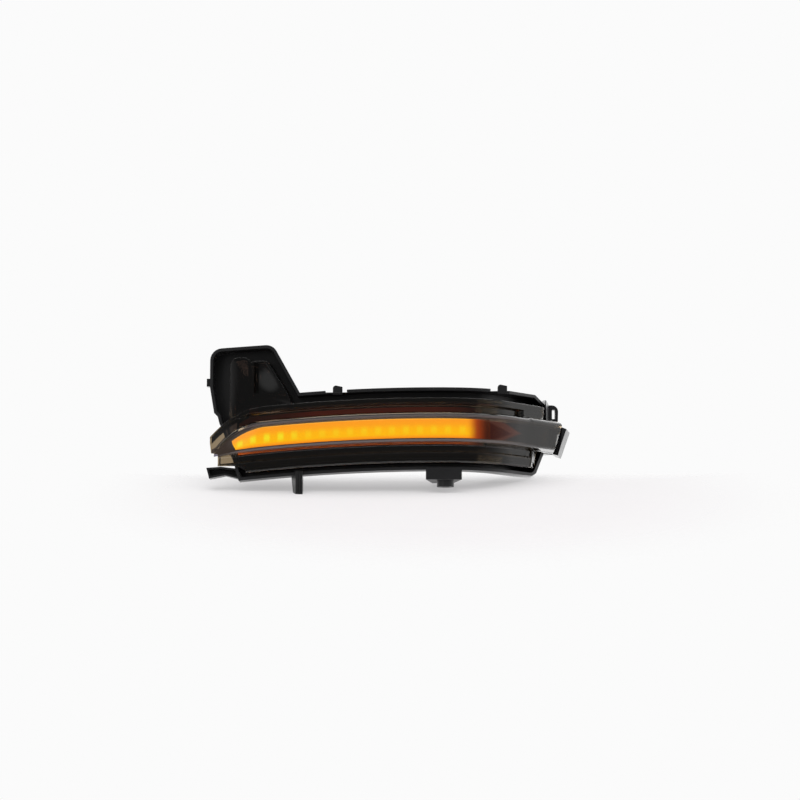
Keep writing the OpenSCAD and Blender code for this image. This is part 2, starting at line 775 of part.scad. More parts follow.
module light_board() {
    color([0.9, 0.9, 0.86])
        difference() {
            arched_strip(led_first - 4, board_end, -board_in, -board_back,
                window_foot + 0.6, window_top - 0.6);
            for (s = light_screws)
                at_station(s)
                    translate([0, 0, arched(screw_z, s)])
                        rotate([-90, 0, 0])
                            cylinder(h = 30, r = board_hole_r, $fn = 24);
        }
}

module leds() {
    color([1, 0.85, 0.3])
        for (i = [0 : led_count - 1])
            at_led(i) {
                translate([-led_w / 2, -0.7, -led_h / 2])
                    cube([led_w, 0.7, led_h]);
                translate([0, -0.6, 0])
                    rotate([90, 0, 0])
                        cylinder(h = 0.8, r = 0.8, $fn = 24);
            }
}

module light_resistors() {
    color([0.1, 0.1, 0.1])
        for (i = [0 : 3 : led_count - 2])
            at_led(i + 0.5)
                translate([-1, board_t + 0.05, -0.6])
                    cube([2, 0.6, 1.25]);
}

// Pan-head screw with its head on the board and its shank in the post.
module board_screw() {
    rotate([-90, 0, 0]) {
        translate([0, 0, -screw_head_h])
            difference() {
                cylinder(h = screw_head_h, r = screw_head_r, $fn = 32);
                translate([-1.3, -0.25, -0.1])
                    cube([2.6, 0.5, 0.7]);
                translate([-0.25, -1.3, -0.1])
                    cube([0.5, 2.6, 0.7]);
            }
        cylinder(h = screw_len - 1, r = screw_r, $fn = 24);
    }
}

module light_board_screws() {
    color([0.75, 0.75, 0.78])
        for (s = light_screws)
            at_station(s)
                translate([0, board_in, arched(screw_z, s)])
                    board_screw();
}

module on_driver(x, z) {
    at_station(pocket_s)
        translate([driver_left + x, driver_in, driver_foot + z])
            children();
}

module driver_board() {
    color([0.08, 0.32, 0.16])
        difference() {
            on_driver(0, 0)
                translate([0, board_t, 0])
                    rotate([90, 0, 0])
                        linear_extrude(board_t)
                            polygon([[0, 0], [driver_w, 0], [driver_w, 6], [driver_w - 9, driver_h],
                                [0, driver_h]]);
            for (p = driver_posts)
                on_driver(p[0], p[1])
                    translate([0, -1, 0])
                        rotate([-90, 0, 0])
                            cylinder(h = 5, r = board_hole_r, $fn = 24);
        }
}

module driver_board_screws() {
    color([0.75, 0.75, 0.78])
        for (p = driver_posts)
            on_driver(p[0], p[1])
                board_screw();
}

// Parts soldered on the back of the driver board.
module driver_chip() {
    color([0.12, 0.12, 0.13])
        on_driver(7, 6) {
            translate([0, board_t + 0.2, 0])
                cube([5, 1.5, 4]);
            for (i = [0 : 3])
                translate([0.4 + i * 1.27, board_t, -1])
                    cube([0.42, 0.35, 6]);
        }
}

module regulator() {
    color([0.14, 0.14, 0.15])
        on_driver(13.8, 5) {
            translate([0, board_t, 0])
                cube([5, 2.3, 4.6]);
            translate([0.6, board_t, -1.6])
                cube([3.8, 0.5, 1.7]);
        }
}

module inductor() {
    color([0.22, 0.22, 0.24])
        on_driver(9.5, 15)
            translate([0, board_t, 0])
                rotate([-90, 0, 0]) {
                    cylinder(h = 0.8, r = 2.7, $fn = 40);
                    cylinder(h = 3.4, r = 1.9, $fn = 32);
                    translate([0, 0, 2.6])
                        cylinder(h = 0.8, r = 2.7, $fn = 40);
                }
}

module filter_capacitor() {
    color([0.78, 0.79, 0.8])
        on_driver(2, 8)
            translate([1.7, board_t, 4])
                rotate([-90, 0, 0]) {
                    cylinder(h = 5.2, r = 2, $fn = 40);
                    translate([-2.1, -2.1, 0])
                        cube([4.2, 4.2, 0.6]);
                }
}

module polarity_diode() {
    color([0.1, 0.1, 0.11])
        on_driver(13.4, 12.4) {
            translate([0, board_t, 0])
                cube([2.6, 2, 4.2]);
            translate([0.6, board_t, -0.6])
                cube([1.4, 0.3, 5.4]);
        }
}

module driver_resistors() {
    color([0.09, 0.09, 0.09])
        for (i = [0 : 3])
            on_driver(6.4 + i * 2.2, 2.4)
                translate([0, board_t, 0])
                    cube([1.2, 0.55, 2]);
}

module ceramic_capacitors() {
    color([0.72, 0.6, 0.45])
        for (i = [0 : 1])
            on_driver(17, 11 + i * 2.4)
                translate([0, board_t, 0])
                    cube([2, 1, 1.2]);
}

// Flat jumper from the light board up to the driver board, looped behind both.
module board_link() {
    top = driver_foot + 1.6;
    foot = arched(window_top, led_first) - 4;
    low = board_back + 0.1;
    high = driver_in + board_t;
    t = 0.4;
    color([0.8, 0.35, 0.1])
        at_station(pocket_s)
            translate([-5.2, 0, 0])
                rotate([90, 0, 90])
                    linear_extrude(6)
                        polygon([[high, top], [high + t, top], [high + t, driver_foot - 2],
                            [high + 2.4, driver_foot - 6], [low + 2.6, foot + 4], [low + t, foot + 1.6],
                            [low + t, foot], [low, foot], [low, foot + 1.8], [low + 2.2, foot + 4.2],
                            [high + 2, driver_foot - 5.9], [high, driver_foot - 1.9]]);
}

module pin_carrier() {
    color([0.2, 0.2, 0.22])
        at_station(pocket_s)
            difference() {
                translate([pin_x - 5.9, box_floor - 0.9, pin_z - 2.4])
                    cube([11.8, carrier_t, 4.8]);
                for (i = [-1 : 1])
                    translate([pin_x + i * pin_pitch - pin_side / 2, box_floor - 2, pin_z - pin_side / 2])
                        cube([pin_side, 6, pin_side]);
            }
}

module connector_pins() {
    color([0.8, 0.72, 0.45])
        at_station(pocket_s)
            for (i = [-1 : 1])
                translate([pin_x + i * pin_pitch - pin_side / 2, driver_in + board_t, pin_z - pin_side / 2])
                    cube([pin_side, box_floor - driver_in - board_t + pin_out, pin_side]);
}

housing();
lens();
seal_bead();
bezel();
light_guide();
reflector();
light_board();
leds();
light_resistors();
light_board_screws();
driver_board();
driver_chip();
regulator();
inductor();
filter_capacitor();
polarity_diode();
driver_resistors();
ceramic_capacitors();
driver_board_screws();
board_link();
pin_carrier();
connector_pins();
vent_cap();
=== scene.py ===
"""Looks of a mirror turn signal lamp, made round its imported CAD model.

Shapes are worked out in millimetres, with the same names as in the part's source, and each mesh is
scaled to metres at the end. A station s runs along the lamp's front curve, and a depth d points
out of the front.
"""

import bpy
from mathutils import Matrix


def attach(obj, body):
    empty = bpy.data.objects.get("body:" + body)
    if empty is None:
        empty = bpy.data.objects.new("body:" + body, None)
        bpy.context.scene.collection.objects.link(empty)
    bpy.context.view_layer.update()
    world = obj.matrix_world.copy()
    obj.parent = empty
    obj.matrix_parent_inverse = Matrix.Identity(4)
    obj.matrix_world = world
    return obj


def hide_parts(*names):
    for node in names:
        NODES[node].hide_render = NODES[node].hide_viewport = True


bl_info = {
    "name": "Mirror Turn Signal Lamp",
    "version": (1, 0, 0),
    "blender": (4, 5, 0),
    "location": "3D View > Sidebar > Lamp",
    "description": "Smoked lens, lit light guide, bezel, finishes and stage of a mirror turn signal lamp",
    "category": "Object",
}

import math
from functools import partial

import bmesh
import bpy
import numpy as np
from bpy.props import FloatProperty, FloatVectorProperty, PointerProperty
from mathutils import Matrix, Vector

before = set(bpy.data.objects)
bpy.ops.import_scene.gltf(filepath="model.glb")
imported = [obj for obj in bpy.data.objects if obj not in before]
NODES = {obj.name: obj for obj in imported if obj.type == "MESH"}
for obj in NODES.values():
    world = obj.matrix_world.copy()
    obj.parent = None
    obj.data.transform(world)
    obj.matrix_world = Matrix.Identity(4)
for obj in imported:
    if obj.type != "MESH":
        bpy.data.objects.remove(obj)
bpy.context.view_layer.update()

MM = 0.001

# Front curve, heights and depths of the lamp, as in the part's source.
BOW_R, BOW_FLAT, BOW_Y = 600.0, -40.0, -7.0
WRAP_R, WRAP_ANGLE = 55.0, math.radians(52)
CROWN_S, ARCH_DROP, TIP_S, END_S = 5.0, 8.0, -137.4, 90.0
FLANGE_END_X, STEP_END_X = 60.5, 51.0
FLANGE_TOP, GROOVE_TOP, BULGE_TOP = 51.8, 47.8, 42.6
WINDOW_TOP, WINDOW_FOOT, BULGE_FOOT, BAND_FOOT, LENS_FOOT = 39.2, 27.7, 25.4, 19.8, 13.8
BULGE_OUT, GROOVE_IN, FLANGE_OUT, LENS_WALL = 7.0, 3.2, 0.2, 2.0
TRIM_WALL, GLOW_GAP, BEZEL_BACK, GUIDE_END = 1.2, 1.5, -1.6, 25.3
BULGE_START, BULGE_FADE, BULGE_DROP = -100.0, 35.0, 14.5
GROOVE_END, GROOVE_BEND, GROOVE_DROP, GROOVE_RISE, GROOVE_RISE_RUN = 58.0, -112.0, 11.6, -108.0, 14.0
FLANGE_BEND, FLANGE_DROP = -105.0, 2.8
WINDOW_BEND, WINDOW_RUN, WINDOW_DROP = -104.0, 20.2, 6.2
POCKET_S, BLOCK_BACK, BLOCK_WALL = -112.0, 8.2, 1.6
FINGER_L, FINGER_R, FINGER_TOP = -14.0, -1.0, 75.8
SLANT_LOW, SLANT_HIGH = (20.6, 53.6), (9.1, 71.9)
PANEL_FRONT, SAIL_FRONT, SAIL_TURN, SAIL_RIM = 0.4, 1.2, math.radians(13), 1.0
LED_FIRST, LED_PITCH = -119.0, 8.0

# Only in the looks: the lean of the bulge's face, the station of the lit face's inboard edge at its
# top, and how far that edge slants.
LEAN, GUIDE_START, EDGE_SLANT = 0.8, -124.4, 2.9
# Depths of the bezel's panel behind the band, and of the dark sheets that paint shade behind the lens's flat
# walls.
PANEL_D, SHADE_D = -3.2, FLANGE_OUT - LENS_WALL - 0.5

ARCH_K = ARCH_DROP / (TIP_S - CROWN_S) ** 2
WRAP_START = -BOW_FLAT / BOW_R
WRAP_LEN = (WRAP_ANGLE - WRAP_START) * WRAP_R
WRAP_X = BOW_FLAT + BOW_R * math.sin(WRAP_START)
WRAP_Y = BOW_Y + BOW_R * (1 - math.cos(WRAP_START))


# Shapes

def turn(s):
    """Angle of the front curve: distance over the bow's radius, then over the wrap's, up to its limit."""
    return np.where(s <= 0, (s - BOW_FLAT) / BOW_R, np.minimum(WRAP_ANGLE, WRAP_START + s / WRAP_R))


def place(s, d):
    """Plan position: the point of the two arcs and their straight run at s, plus d outwards."""
    a = turn(s)
    run = np.maximum(0, s - WRAP_LEN)
    x = np.where(s <= 0, BOW_FLAT + BOW_R * np.sin(a),
                 WRAP_X + WRAP_R * (np.sin(a) - math.sin(WRAP_START)) + run * math.cos(WRAP_ANGLE))
    y = np.where(s <= 0, BOW_Y + BOW_R * (1 - np.cos(a)),
                 WRAP_Y + WRAP_R * (math.cos(WRAP_START) - np.cos(a)) + run * math.sin(WRAP_ANGLE))
    return x + d * np.sin(a), y - d * np.cos(a)


def arched(z, s):
    """A crown height less the arch's drop, which grows with the square of the distance inboard."""
    return z - ARCH_K * np.minimum(0, s - CROWN_S) ** 2


def ramp(x):
    """x held between 0 and 1."""
    return np.clip(x, 0.0, 1.0)


def tip_fade(s):
    """Share of the way from the bulge's full section to the inboard tip."""
    return ramp((BULGE_START - s) / BULGE_FADE)


def bulge_z(s):
    """Top of the bulge: arched, less its drop times the tip's share to the power 2.8."""
    return arched(BULGE_TOP, s) - BULGE_DROP * tip_fade(s) ** 2.8


def bulge_d(s):
    """Depth of the bulge's face: full, less the tip's share to the power 2.2."""
    return BULGE_OUT * (1 - tip_fade(s) ** 2.2)


def bulge_low(s):
    """Foot of the bulge along the arch."""
    return arched(BULGE_FOOT, s)


def bulge_size(s):
    """The bulge's height over 10 mm, and 1 where it is higher."""
    return np.minimum(1, (bulge_z(s) - bulge_low(s)) / 10)


def groove_z(s):
    """Top of the groove: arched, less its drop times the share of its bend to the power 1.9."""
    return arched(GROOVE_TOP, s) - GROOVE_DROP * ramp((GROOVE_BEND - s) / (GROOVE_BEND - TIP_S)) ** 1.9


def flange_z(s):
    """Top of the flange: a fixed height above the groove, less its own even drop at the tip."""
    drop = FLANGE_DROP * ramp((FLANGE_BEND - s) / (FLANGE_BEND - TIP_S))
    return groove_z(s) + FLANGE_TOP - GROOVE_TOP - drop


def groove_d(s):
    """Depth of the groove's floor: full, and rising evenly to the flange at both ends."""
    share = (1 - ramp((GROOVE_RISE - s) / GROOVE_RISE_RUN)) * (1 - ramp(s - GROOVE_END + 0.5))
    return FLANGE_OUT - (GROOVE_IN + FLANGE_OUT) * share


def guide_d(s):
    """Depth of the light guide's face, one wall and one gap inside the bulge's."""
    return bulge_d(s) - LENS_WALL - GLOW_GAP


def window_z(s):
    """Top of the lit window: arched, less its drop times the share of its bend to the power 1.9."""
    return arched(WINDOW_TOP, s) - WINDOW_DROP * ramp((WINDOW_BEND - s) / WINDOW_RUN) ** 1.9


def window_low(s):
    """Foot of the lit window along the arch."""
    return arched(WINDOW_FOOT, s)


def stations(first, last, bow_step=4.0, wrap_step=1.5):
    """Stations between two ends: 2 mm apart at the inboard tip, wider on the bow, close round the wrap."""
    inner = np.concatenate([np.arange(-136, -98, 2.0), np.arange(-98, 0, bow_step),
                            np.arange(0, WRAP_LEN, wrap_step), np.arange(WRAP_LEN + 1, 120, 4.0),
                            [GROOVE_END - 0.5, GROOVE_END + 0.5]])
    inner = np.unique(inner[(inner > first + 0.6) & (inner < last - 0.6)])
    return np.concatenate([[first], inner, [last]])


def loop_of(stops, corners):
    """Array of stations by corners by (depth, height) from a list of depth and height pairs."""
    return np.stack([np.stack([np.broadcast_to(v, stops.shape) for v in pair], -1)
                     for pair in corners], 1).astype(float)


def rounded(loop, radius, steps=4):
    """Each corner p becomes the curve (1-t)²a + 2t(1-t)p + t²b, where a and b lie radius away from it
    on its two sides, or 0.42 of the side where that is shorter."""
    def towards(q):
        v = q - loop
        length = np.linalg.norm(v, axis=-1, keepdims=True)
        return loop + v * np.minimum(0.42, radius / np.maximum(length, 1e-9))
    a, b = towards(np.roll(loop, 1, 1))[:, :, None], towards(np.roll(loop, -1, 1))[:, :, None]
    t = np.linspace(0, 1, steps)[None, None, :, None]
    curve = (1 - t) ** 2 * a + 2 * t * (1 - t) * loop[:, :, None] + t ** 2 * b
    return curve.reshape(len(loop), -1, 2)


def sweep(stops, loop):
    """Closed skin of a profile carried along the front curve. Neighbouring loops are joined by quads,
    and each end is closed by quads between the loop's first half and its mirrored second half. The
    stations are one for each loop, or one for each corner where an end is slanted."""
    count, n = loop.shape[:2]
    x, y = place(stops if stops.ndim == 2 else stops[:, None], loop[:, :, 0])
    points = np.stack([x, y, loop[:, :, 1]], -1).reshape(-1, 3)
    i, j = np.meshgrid(np.arange(count - 1), np.arange(n), indexing="ij")
    a, b = i * n + j, i * n + (j + 1) % n
    sides = np.stack([a, b, b + n, a + n], -1).reshape(-1, 4)
    j = np.arange(n // 2 - 1)
    p, last = n - 1 - j, (count - 1) * n
    start = np.stack([j, p, p - 1, j + 1], -1)
    end = np.stack([j, j + 1, p - 1, p], -1) + last
    return points, np.concatenate([sides, start, end])


def inset(outline, w):
    """Each corner of an anticlockwise outline moved inwards, so that both of its sides shift by w."""
    v = np.roll(outline, -1, 0) - outline
    v = v / np.linalg.norm(v, axis=1, keepdims=True)
    u = np.roll(v, 1, 0)
    n1, n2 = np.stack([-u[:, 1], u[:, 0]], 1), np.stack([-v[:, 1], v[:, 0]], 1)
    return outline + w * (n1 + n2) / (1 + np.sum(n1 * n2, 1, keepdims=True))


def arc(cx, cz, r, a0, a1, n=8):
    """Points on a circle of radius r round (cx, cz), from angle a0 to a1 in degrees."""
    a = np.radians(np.linspace(a0, a1, n + 1))
    return np.stack([cx + r * np.cos(a), cz + r * np.sin(a)], 1)


def rings_solid(rings):
    """Solid between outlines of equal count, listed from the front to the back: quads between
    neighbours and one flat face at each end."""
    rings = np.asarray(rings, float)
    count, n = rings.shape[:2]
    i, j = np.meshgrid(np.arange(count - 1), np.arange(n), indexing="ij")
    a, b = i * n + j, i * n + (j + 1) % n
    sides = np.stack([a, a + n, b + n, b], -1).reshape(-1, 4).tolist()
    caps = [list(range(n)), list(range(count * n - 1, (count - 1) * n - 1, -1))]
    return rings.reshape(-1, 3), sides + caps


def ring(outline, y):
    """An outline of x and z at depth y, where y is one number or one for each corner."""
    return np.stack([outline[:, 0], np.broadcast_to(y, len(outline)), outline[:, 1]], 1)


def plate(outline, y0, y1, edge=0.0, steps=4):
    """Plate from y0 back to y1. Its front edge is a quarter circle: inset edge (1 - cos a) at depth
    edge (1 - sin a)."""
    if not edge:
        return rings_solid([ring(outline, y0), ring(outline, y1)])
    a = np.linspace(math.pi / 2, 0, steps + 1)
    front = [ring(inset(outline, edge * (1 - math.cos(k))), y0 + edge * (1 - math.sin(k))) for k in a]
    return rings_solid(front + [ring(outline, y1)])


# Meshes and objects

def piece(name, points, faces):
    """Makes a mesh object in millimetres, which settle() later scales to metres."""
    mesh = bpy.data.meshes.new(name)
    mesh.from_pydata(np.asarray(points).tolist(), [], np.asarray(faces).tolist()
                     if isinstance(faces, np.ndarray) else faces)
    mesh.update()
    obj = bpy.data.objects.new(name, mesh)
    bpy.context.scene.collection.objects.link(obj)
    return obj


def joined(name, parts):
    """One object from several closed skins of (points, faces)."""
    points, faces, start = [], [], 0
    for p, f in parts:
        points.append(p)
        faces.extend((np.asarray(f) + start).tolist())
        start += len(p)
    return piece(name, np.concatenate(points), faces)


def apply_modifiers(obj):
    """Puts what the modifiers make into the object's own mesh."""
    graph = bpy.context.evaluated_depsgraph_get()
    mesh = bpy.data.meshes.new_from_object(obj.evaluated_get(graph))
    obj.modifiers.clear()
    obj.data = mesh


def combine(obj, tool, operation):
    """Cuts or joins obj with a closed tool, which is then removed."""
    modifier = obj.modifiers.new("combine", "BOOLEAN")
    modifier.operation, modifier.solver, modifier.object = operation, "EXACT", tool
    apply_modifiers(obj)
    bpy.data.objects.remove(tool)


def soften(obj, width, segments=2, angle=40):
    """Rounds the sharp edges of a piece in millimetres."""
    modifier = obj.modifiers.new("edges", "BEVEL")
    modifier.width, modifier.segments = width, segments
    modifier.limit_method, modifier.angle_limit = "ANGLE", math.radians(angle)
    apply_modifiers(obj)


def settle(obj, material, slot, *nodes, angle=42):
    """Scales a finished piece to metres, shades it, and hands it to the frame."""
    form = bmesh.new()
    form.from_mesh(obj.data)
    bmesh.ops.remove_doubles(form, verts=form.verts, dist=1e-4)
    form.to_mesh(obj.data)
    form.free()
    obj.data.transform(Matrix.Scale(MM, 4))
    obj.data.shade_smooth()
    obj.data.set_sharp_from_angle(angle=math.radians(angle))
    obj.data.materials.clear()
    obj.data.materials.append(material)
    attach(obj, "root")
    if nodes:
        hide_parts(*nodes)
    return obj


def to_pocket(obj):
    """Turns and moves a piece from the pocket's own frame to the lamp's."""
    x, y = place(np.array(POCKET_S), 0.0)
    turned = Matrix.Rotation(float(turn(np.array(POCKET_S))), 4, "Z")
    obj.data.transform(Matrix.Translation((float(x), float(y), 0)) @ turned)


# Materials

# Inputs of a colour Mix node, by number.
MIX_A, MIX_B = 6, 7
SMOOTH = {"interpolation_type": "SMOOTHSTEP"}


def srgb(code):
    """Linear colour with alpha from an sRGB hex code."""
    channels = [int(code[i:i + 2], 16) / 255 for i in (1, 3, 5)]
    return tuple(c / 12.92 if c <= 0.04045 else ((c + 0.055) / 1.055) ** 2.4 for c in channels) + (1.0,)


def add_node(tree, kind, values=None, links=None, stops=(), **settings):
    """Adds a node. values go to its inputs by name or number, links lead outputs to them, or the
    first output in use of a node, stops are a colour ramp's places and colours, and settings are
    the node's own."""
    made = tree.nodes.new("ShaderNode" + kind)
    for name, value in settings.items():
        setattr(made, name, value)
    for name, value in (values or {}).items():
        made.inputs[name].default_value = value
    for name, source in (links or {}).items():
        if isinstance(source, bpy.types.Node):
            source = next(output for output in source.outputs if output.enabled)
        tree.links.new(source, made.inputs[name])
    if stops:
        elements = made.color_ramp.elements
        while len(elements) < len(stops):
            elements.new(0.5)
        for element, (at, code) in zip(elements, stops):
            element.position, element.color = at, srgb(code)
    return made


def new_material(name):
    """An empty material, the call that adds a node to it, and its coordinates' outputs."""
    material = bpy.data.materials.new(name)
    material.use_nodes = True
    material.node_tree.nodes.clear()
    add = partial(add_node, material.node_tree)
    return material, add, add("TexCoord").outputs


def moulded(name, colour, paler, rough, grain_mm, depth_mm, ior=1.5, metallic=0.0, edge_mm=0.0):
    """Shared node layout of solid finishes: patches 12 mm wide vary the colour and the roughness, and
    a fine grain of the given size and depth bends the normal. edge_mm rounds the edges' shading. The
    colour is a hex code, or linear where it comes from the settings."""
    material, add, coords = new_material(name)
    at = {"Vector": coords["Object"]}
    patches = add("TexNoise", {"Scale": 1 / (12 * MM), "Detail": 3.0}, at)
    grain = add("TexNoise", {"Scale": 1 / (grain_mm * MM), "Detail": 2.0}, at)
    first = srgb(colour) if isinstance(colour, str) else colour
    tint = add("Mix", {MIX_A: first, MIX_B: srgb(paler)}, {0: patches}, data_type="RGBA")
    shine = add("MapRange", {"To Min": rough - 0.08, "To Max": rough + 0.08}, {"Value": patches})
    relief = {"Height": grain}
    if edge_mm:
        relief["Normal"] = add("Bevel", {"Radius": edge_mm * MM}, samples=6)
    bump = add("Bump", {"Strength": 0.5, "Distance": depth_mm * MM}, relief)
    shader = add("BsdfPrincipled", {"IOR": ior, "Metallic": metallic},
                 {"Base Color": tint, "Roughness": shine, "Normal": bump})
    add("OutputMaterial", links={"Surface": shader})
    return material


def smoked_polycarbonate(tint):
    """Injection-moulded, hard-coated smoked polycarbonate: polished and clear, so the lit guide shows
    sharp through it, while its brown-grey dye drowns what is behind it and its gloss mirrors the room."""
    material, add, coords = new_material("smoked polycarbonate")
    # The hard coat's flow waves are about 20 mm long and a few hundredths of a millimetre high.
    flow = add("TexNoise", {"Scale": 1 / (22 * MM), "Detail": 1.0}, {"Vector": coords["Object"]})
    bump = add("Bump", {"Strength": 0.15, "Distance": 0.03 * MM}, {"Height": flow})
    # Painted shade on the panel in the pocket, which has folded walls: high up and inboard its dye turns
    # darker, so that what shows through it looks shaded.
    split = add("SeparateXYZ", links={0: coords["Object"]}).outputs
    high = add("MapRange", {"From Min": 43 * MM, "From Max": 47 * MM}, {"Value": split["Z"]})
    inboard = add("MapRange", {"From Min": -84 * MM, "From Max": -90 * MM}, {"Value": split["X"]})
    painted_pocket_shade = add("Math", links={0: high, 1: inboard}, operation="MULTIPLY")
    # The dye is the lens's smoke tint, mixed with the painted shade in the pocket.
    dye = add("Mix", {MIX_A: tint, MIX_B: srgb("#5a463c")}, {0: painted_pocket_shade}, data_type="RGBA")
    shader = add("BsdfPrincipled", {"Roughness": 0.03, "IOR": 1.58, "Transmission Weight": 1.0},
                 {"Base Color": dye, "Normal": bump})
    add("OutputMaterial", links={"Surface": shader})
    return material


def lit_acrylic(strength):
    """Amber cast acrylic light guide, lit from behind: an even orange glow, yellower low down, with a
    brighter spot in front of each diode, that dies out past the last one. Its upper leg and its lower
    flange only leak a little light. UV: u is the station in millimetres over 100, v the share of the
    face's height."""
    material, add, coords = new_material("lit amber acrylic")
    uv = add("SeparateXYZ", links={0: coords["UV"]}).outputs
    station = add("Math", {1: 100.0}, {0: uv["X"]}, operation="MULTIPLY")
    share = uv["Y"]
    face = add("ValToRGB", links={0: share}, stops=[
        (0.0, "#f4a01c"), (0.07, "#fcb424"), (0.2, "#ffd40e"), (0.48, "#ffd014"), (0.72, "#ffbc28"),
        (0.93, "#ffb432"), (0.985, "#ffc848")])
    # One bright spot for each diode: a raised cosine along the strip times a bell across it.
    phase = add("Math", {1: -LED_FIRST}, {0: station}, operation="ADD")
    phase = add("Math", {1: 2 * math.pi / LED_PITCH}, {0: phase}, operation="MULTIPLY")
    wave = add("Math", links={0: phase}, operation="COSINE")
    wave = add("MapRange", {"From Min": -0.5, "From Max": 1.0}, {"Value": wave},
               interpolation_type="SMOOTHERSTEP")
    off = add("Math", {1: 0.42}, {0: share}, operation="SUBTRACT")
    off = add("Math", links={0: off}, operation="ABSOLUTE")
    bell = add("MapRange", {"From Min": 0.36, "From Max": 0.0}, {"Value": off},
               interpolation_type="SMOOTHERSTEP")
    # The spots are plain at the inboard tip, where the guide is thin, and blur towards the middle.
    near = add("MapRange", {"From Min": -80.0, "From Max": -96.0, "To Min": 0.35, "To Max": 1.0},
               {"Value": station}, **SMOOTH)
    spot = add("Math", links={0: wave, 1: bell}, operation="MULTIPLY")
    spot = add("Math", links={0: spot, 1: near}, operation="MULTIPLY")
    # The glow reddens as it dies out past the last diode.
    late = add("MapRange", {"From Min": 11.0, "From Max": 18.0}, {"Value": station}, **SMOOTH)
    # Leaks: the upper leg shows dull red through the groove, and the lower flange a deep orange,
    # up to its dark edge.
    along = add("MapRange", {"From Min": -125.0, "From Max": 25.0}, {"Value": station})
    red = add("ValToRGB", links={0: along}, stops=[
        (0.0, "#0c0402"), (0.18, "#1e0a05"), (0.34, "#381209"), (0.8, "#34120a"), (1.0, "#160806")])
    leak_top = add("MapRange", {"From Min": 1.01, "From Max": 1.06}, {"Value": share})
    leak_low = add("MapRange", {"From Min": -0.01, "From Max": -0.06}, {"Value": share})
    edge_low = add("MapRange", {"From Min": -0.10, "From Max": -0.14}, {"Value": share})
    glow = add("Mix", {MIX_B: srgb("#f6ff36")}, {0: spot, MIX_A: face}, data_type="RGBA")
    glow = add("Mix", {MIX_B: srgb("#b8541c")}, {0: late, MIX_A: glow}, data_type="RGBA")
    glow = add("Mix", links={0: leak_top, MIX_A: glow, MIX_B: red}, data_type="RGBA")
    glow = add("Mix", {MIX_B: srgb("#b4560a")}, {0: leak_low, MIX_A: glow}, data_type="RGBA")
    glow = add("Mix", {MIX_B: srgb("#030101")}, {0: edge_low, MIX_A: glow}, data_type="RGBA")
    # Only the faces that look forward send light out, and the glow dies out towards the guide's end.
    facing = add("SeparateXYZ", links={0: coords["Normal"]}).outputs["Y"]
    forward = add("MapRange", {"From Min": -0.35, "From Max": -0.65}, {"Value": facing})
    fade = add("MapRange", {"From Min": 24.0, "From Max": 12.5, "To Min": 0.09, "To Max": 1.0},
               {"Value": station}, **SMOOTH)
    power = add("Math", links={0: fade, 1: forward}, operation="MULTIPLY")
    power = add("Math", {1: strength}, {0: power}, operation="MULTIPLY")
    shader = add("BsdfPrincipled", {"Base Color": srgb("#8a3c08"), "Roughness": 0.18, "IOR": 1.49},
                 {"Emission Color": glow, "Emission Strength": power})
    add("OutputMaterial", links={"Surface": shader})
    return material


# What both black ABS finishes share.
BLACK_ABS = {"Base Color": srgb("#1c1a1c"), "Roughness": 0.3, "IOR": 1.53}


def bezel_abs():
    """Moulded black ABS, semi-gloss, with painted light: behind the lens an emission paints the room's stray
    light on the rim round the window as a dull purple grey, less so on the wrap. UV: u as on the guide,
    v is the share of that painted glow, 1 on the rim and 0 deeper in."""
    material, add, coords = new_material("semi-gloss black ABS")
    uv = add("SeparateXYZ", links={0: coords["UV"]}).outputs
    grain = add("TexNoise", {"Scale": 1 / (0.8 * MM), "Detail": 2.0}, {"Vector": coords["Object"]})
    bump = add("Bump", {"Strength": 0.2, "Distance": 0.02 * MM}, {"Height": grain})
    # Painted light: the stray glow is strongest on the bow, dimmer on the wrap, and scaled by v.
    fade = add("MapRange", {"From Min": 0.62, "From Max": 0.3, "To Min": 0.1, "To Max": 1.0},
               {"Value": uv["X"]}, **SMOOTH)
    painted_stray_light = add("Math", links={0: fade, 1: uv["Y"]}, operation="MULTIPLY")
    shader = add("BsdfPrincipled", {**BLACK_ABS, "Emission Color": srgb("#6c6876")},
                 {"Normal": bump, "Emission Strength": painted_stray_light})
    add("OutputMaterial", links={"Surface": shader})
    return material


def screen_abs():
    """The same semi-gloss black ABS past the guide's end, with painted light: an emission paints stray amber
    light on it as two nested points of dull red, one 20 mm and one 29 mm long, over a painted purple-grey
    glow. UV: u as on the guide, v the height's share."""
    material, add, coords = new_material("semi-gloss black ABS with painted stray light")
    uv = add("SeparateXYZ", links={0: coords["UV"]}).outputs
    # Painted highlight: the guide's end face catching the light is painted as a thin upright line, and past
    # it a painted purple-grey glow dims along the screen.
    glow = add("ValToRGB", links={0: uv["X"]}, stops=[
        (0.262, "#c87c64"), (0.264, "#5c5c70"), (0.45, "#4c5068"), (0.62, "#1c1e28")])
    # Each painted point of stray light ends where its edge lies at length (1 - |v - middle| / half) past the
    # guide's end.
    end = GUIDE_END / 100
    for code, middle, half, length, blur in (("#8c5a5c", 0.5, 0.7, 0.29, 0.03),
                                             ("#66200f", 0.42, 0.46, 0.2, 0.015)):
        off = add("Math", {1: middle}, {0: uv["Y"]}, operation="SUBTRACT")
        off = add("Math", links={0: off}, operation="ABSOLUTE")
        edge = add("MapRange", {"From Max": half, "To Min": end + length, "To Max": end}, {"Value": off})
        past = add("Math", links={0: edge, 1: uv["X"]}, operation="SUBTRACT")
        mask = add("MapRange", {"From Min": -blur, "From Max": blur}, {"Value": past}, **SMOOTH)
        glow = add("Mix", {MIX_B: srgb(code)}, {0: mask, MIX_A: glow}, data_type="RGBA")
    shader = add("BsdfPrincipled", {**BLACK_ABS, "Emission Strength": 1.0}, {"Emission Color": glow})
    add("OutputMaterial", links={"Surface": shader})
    return material


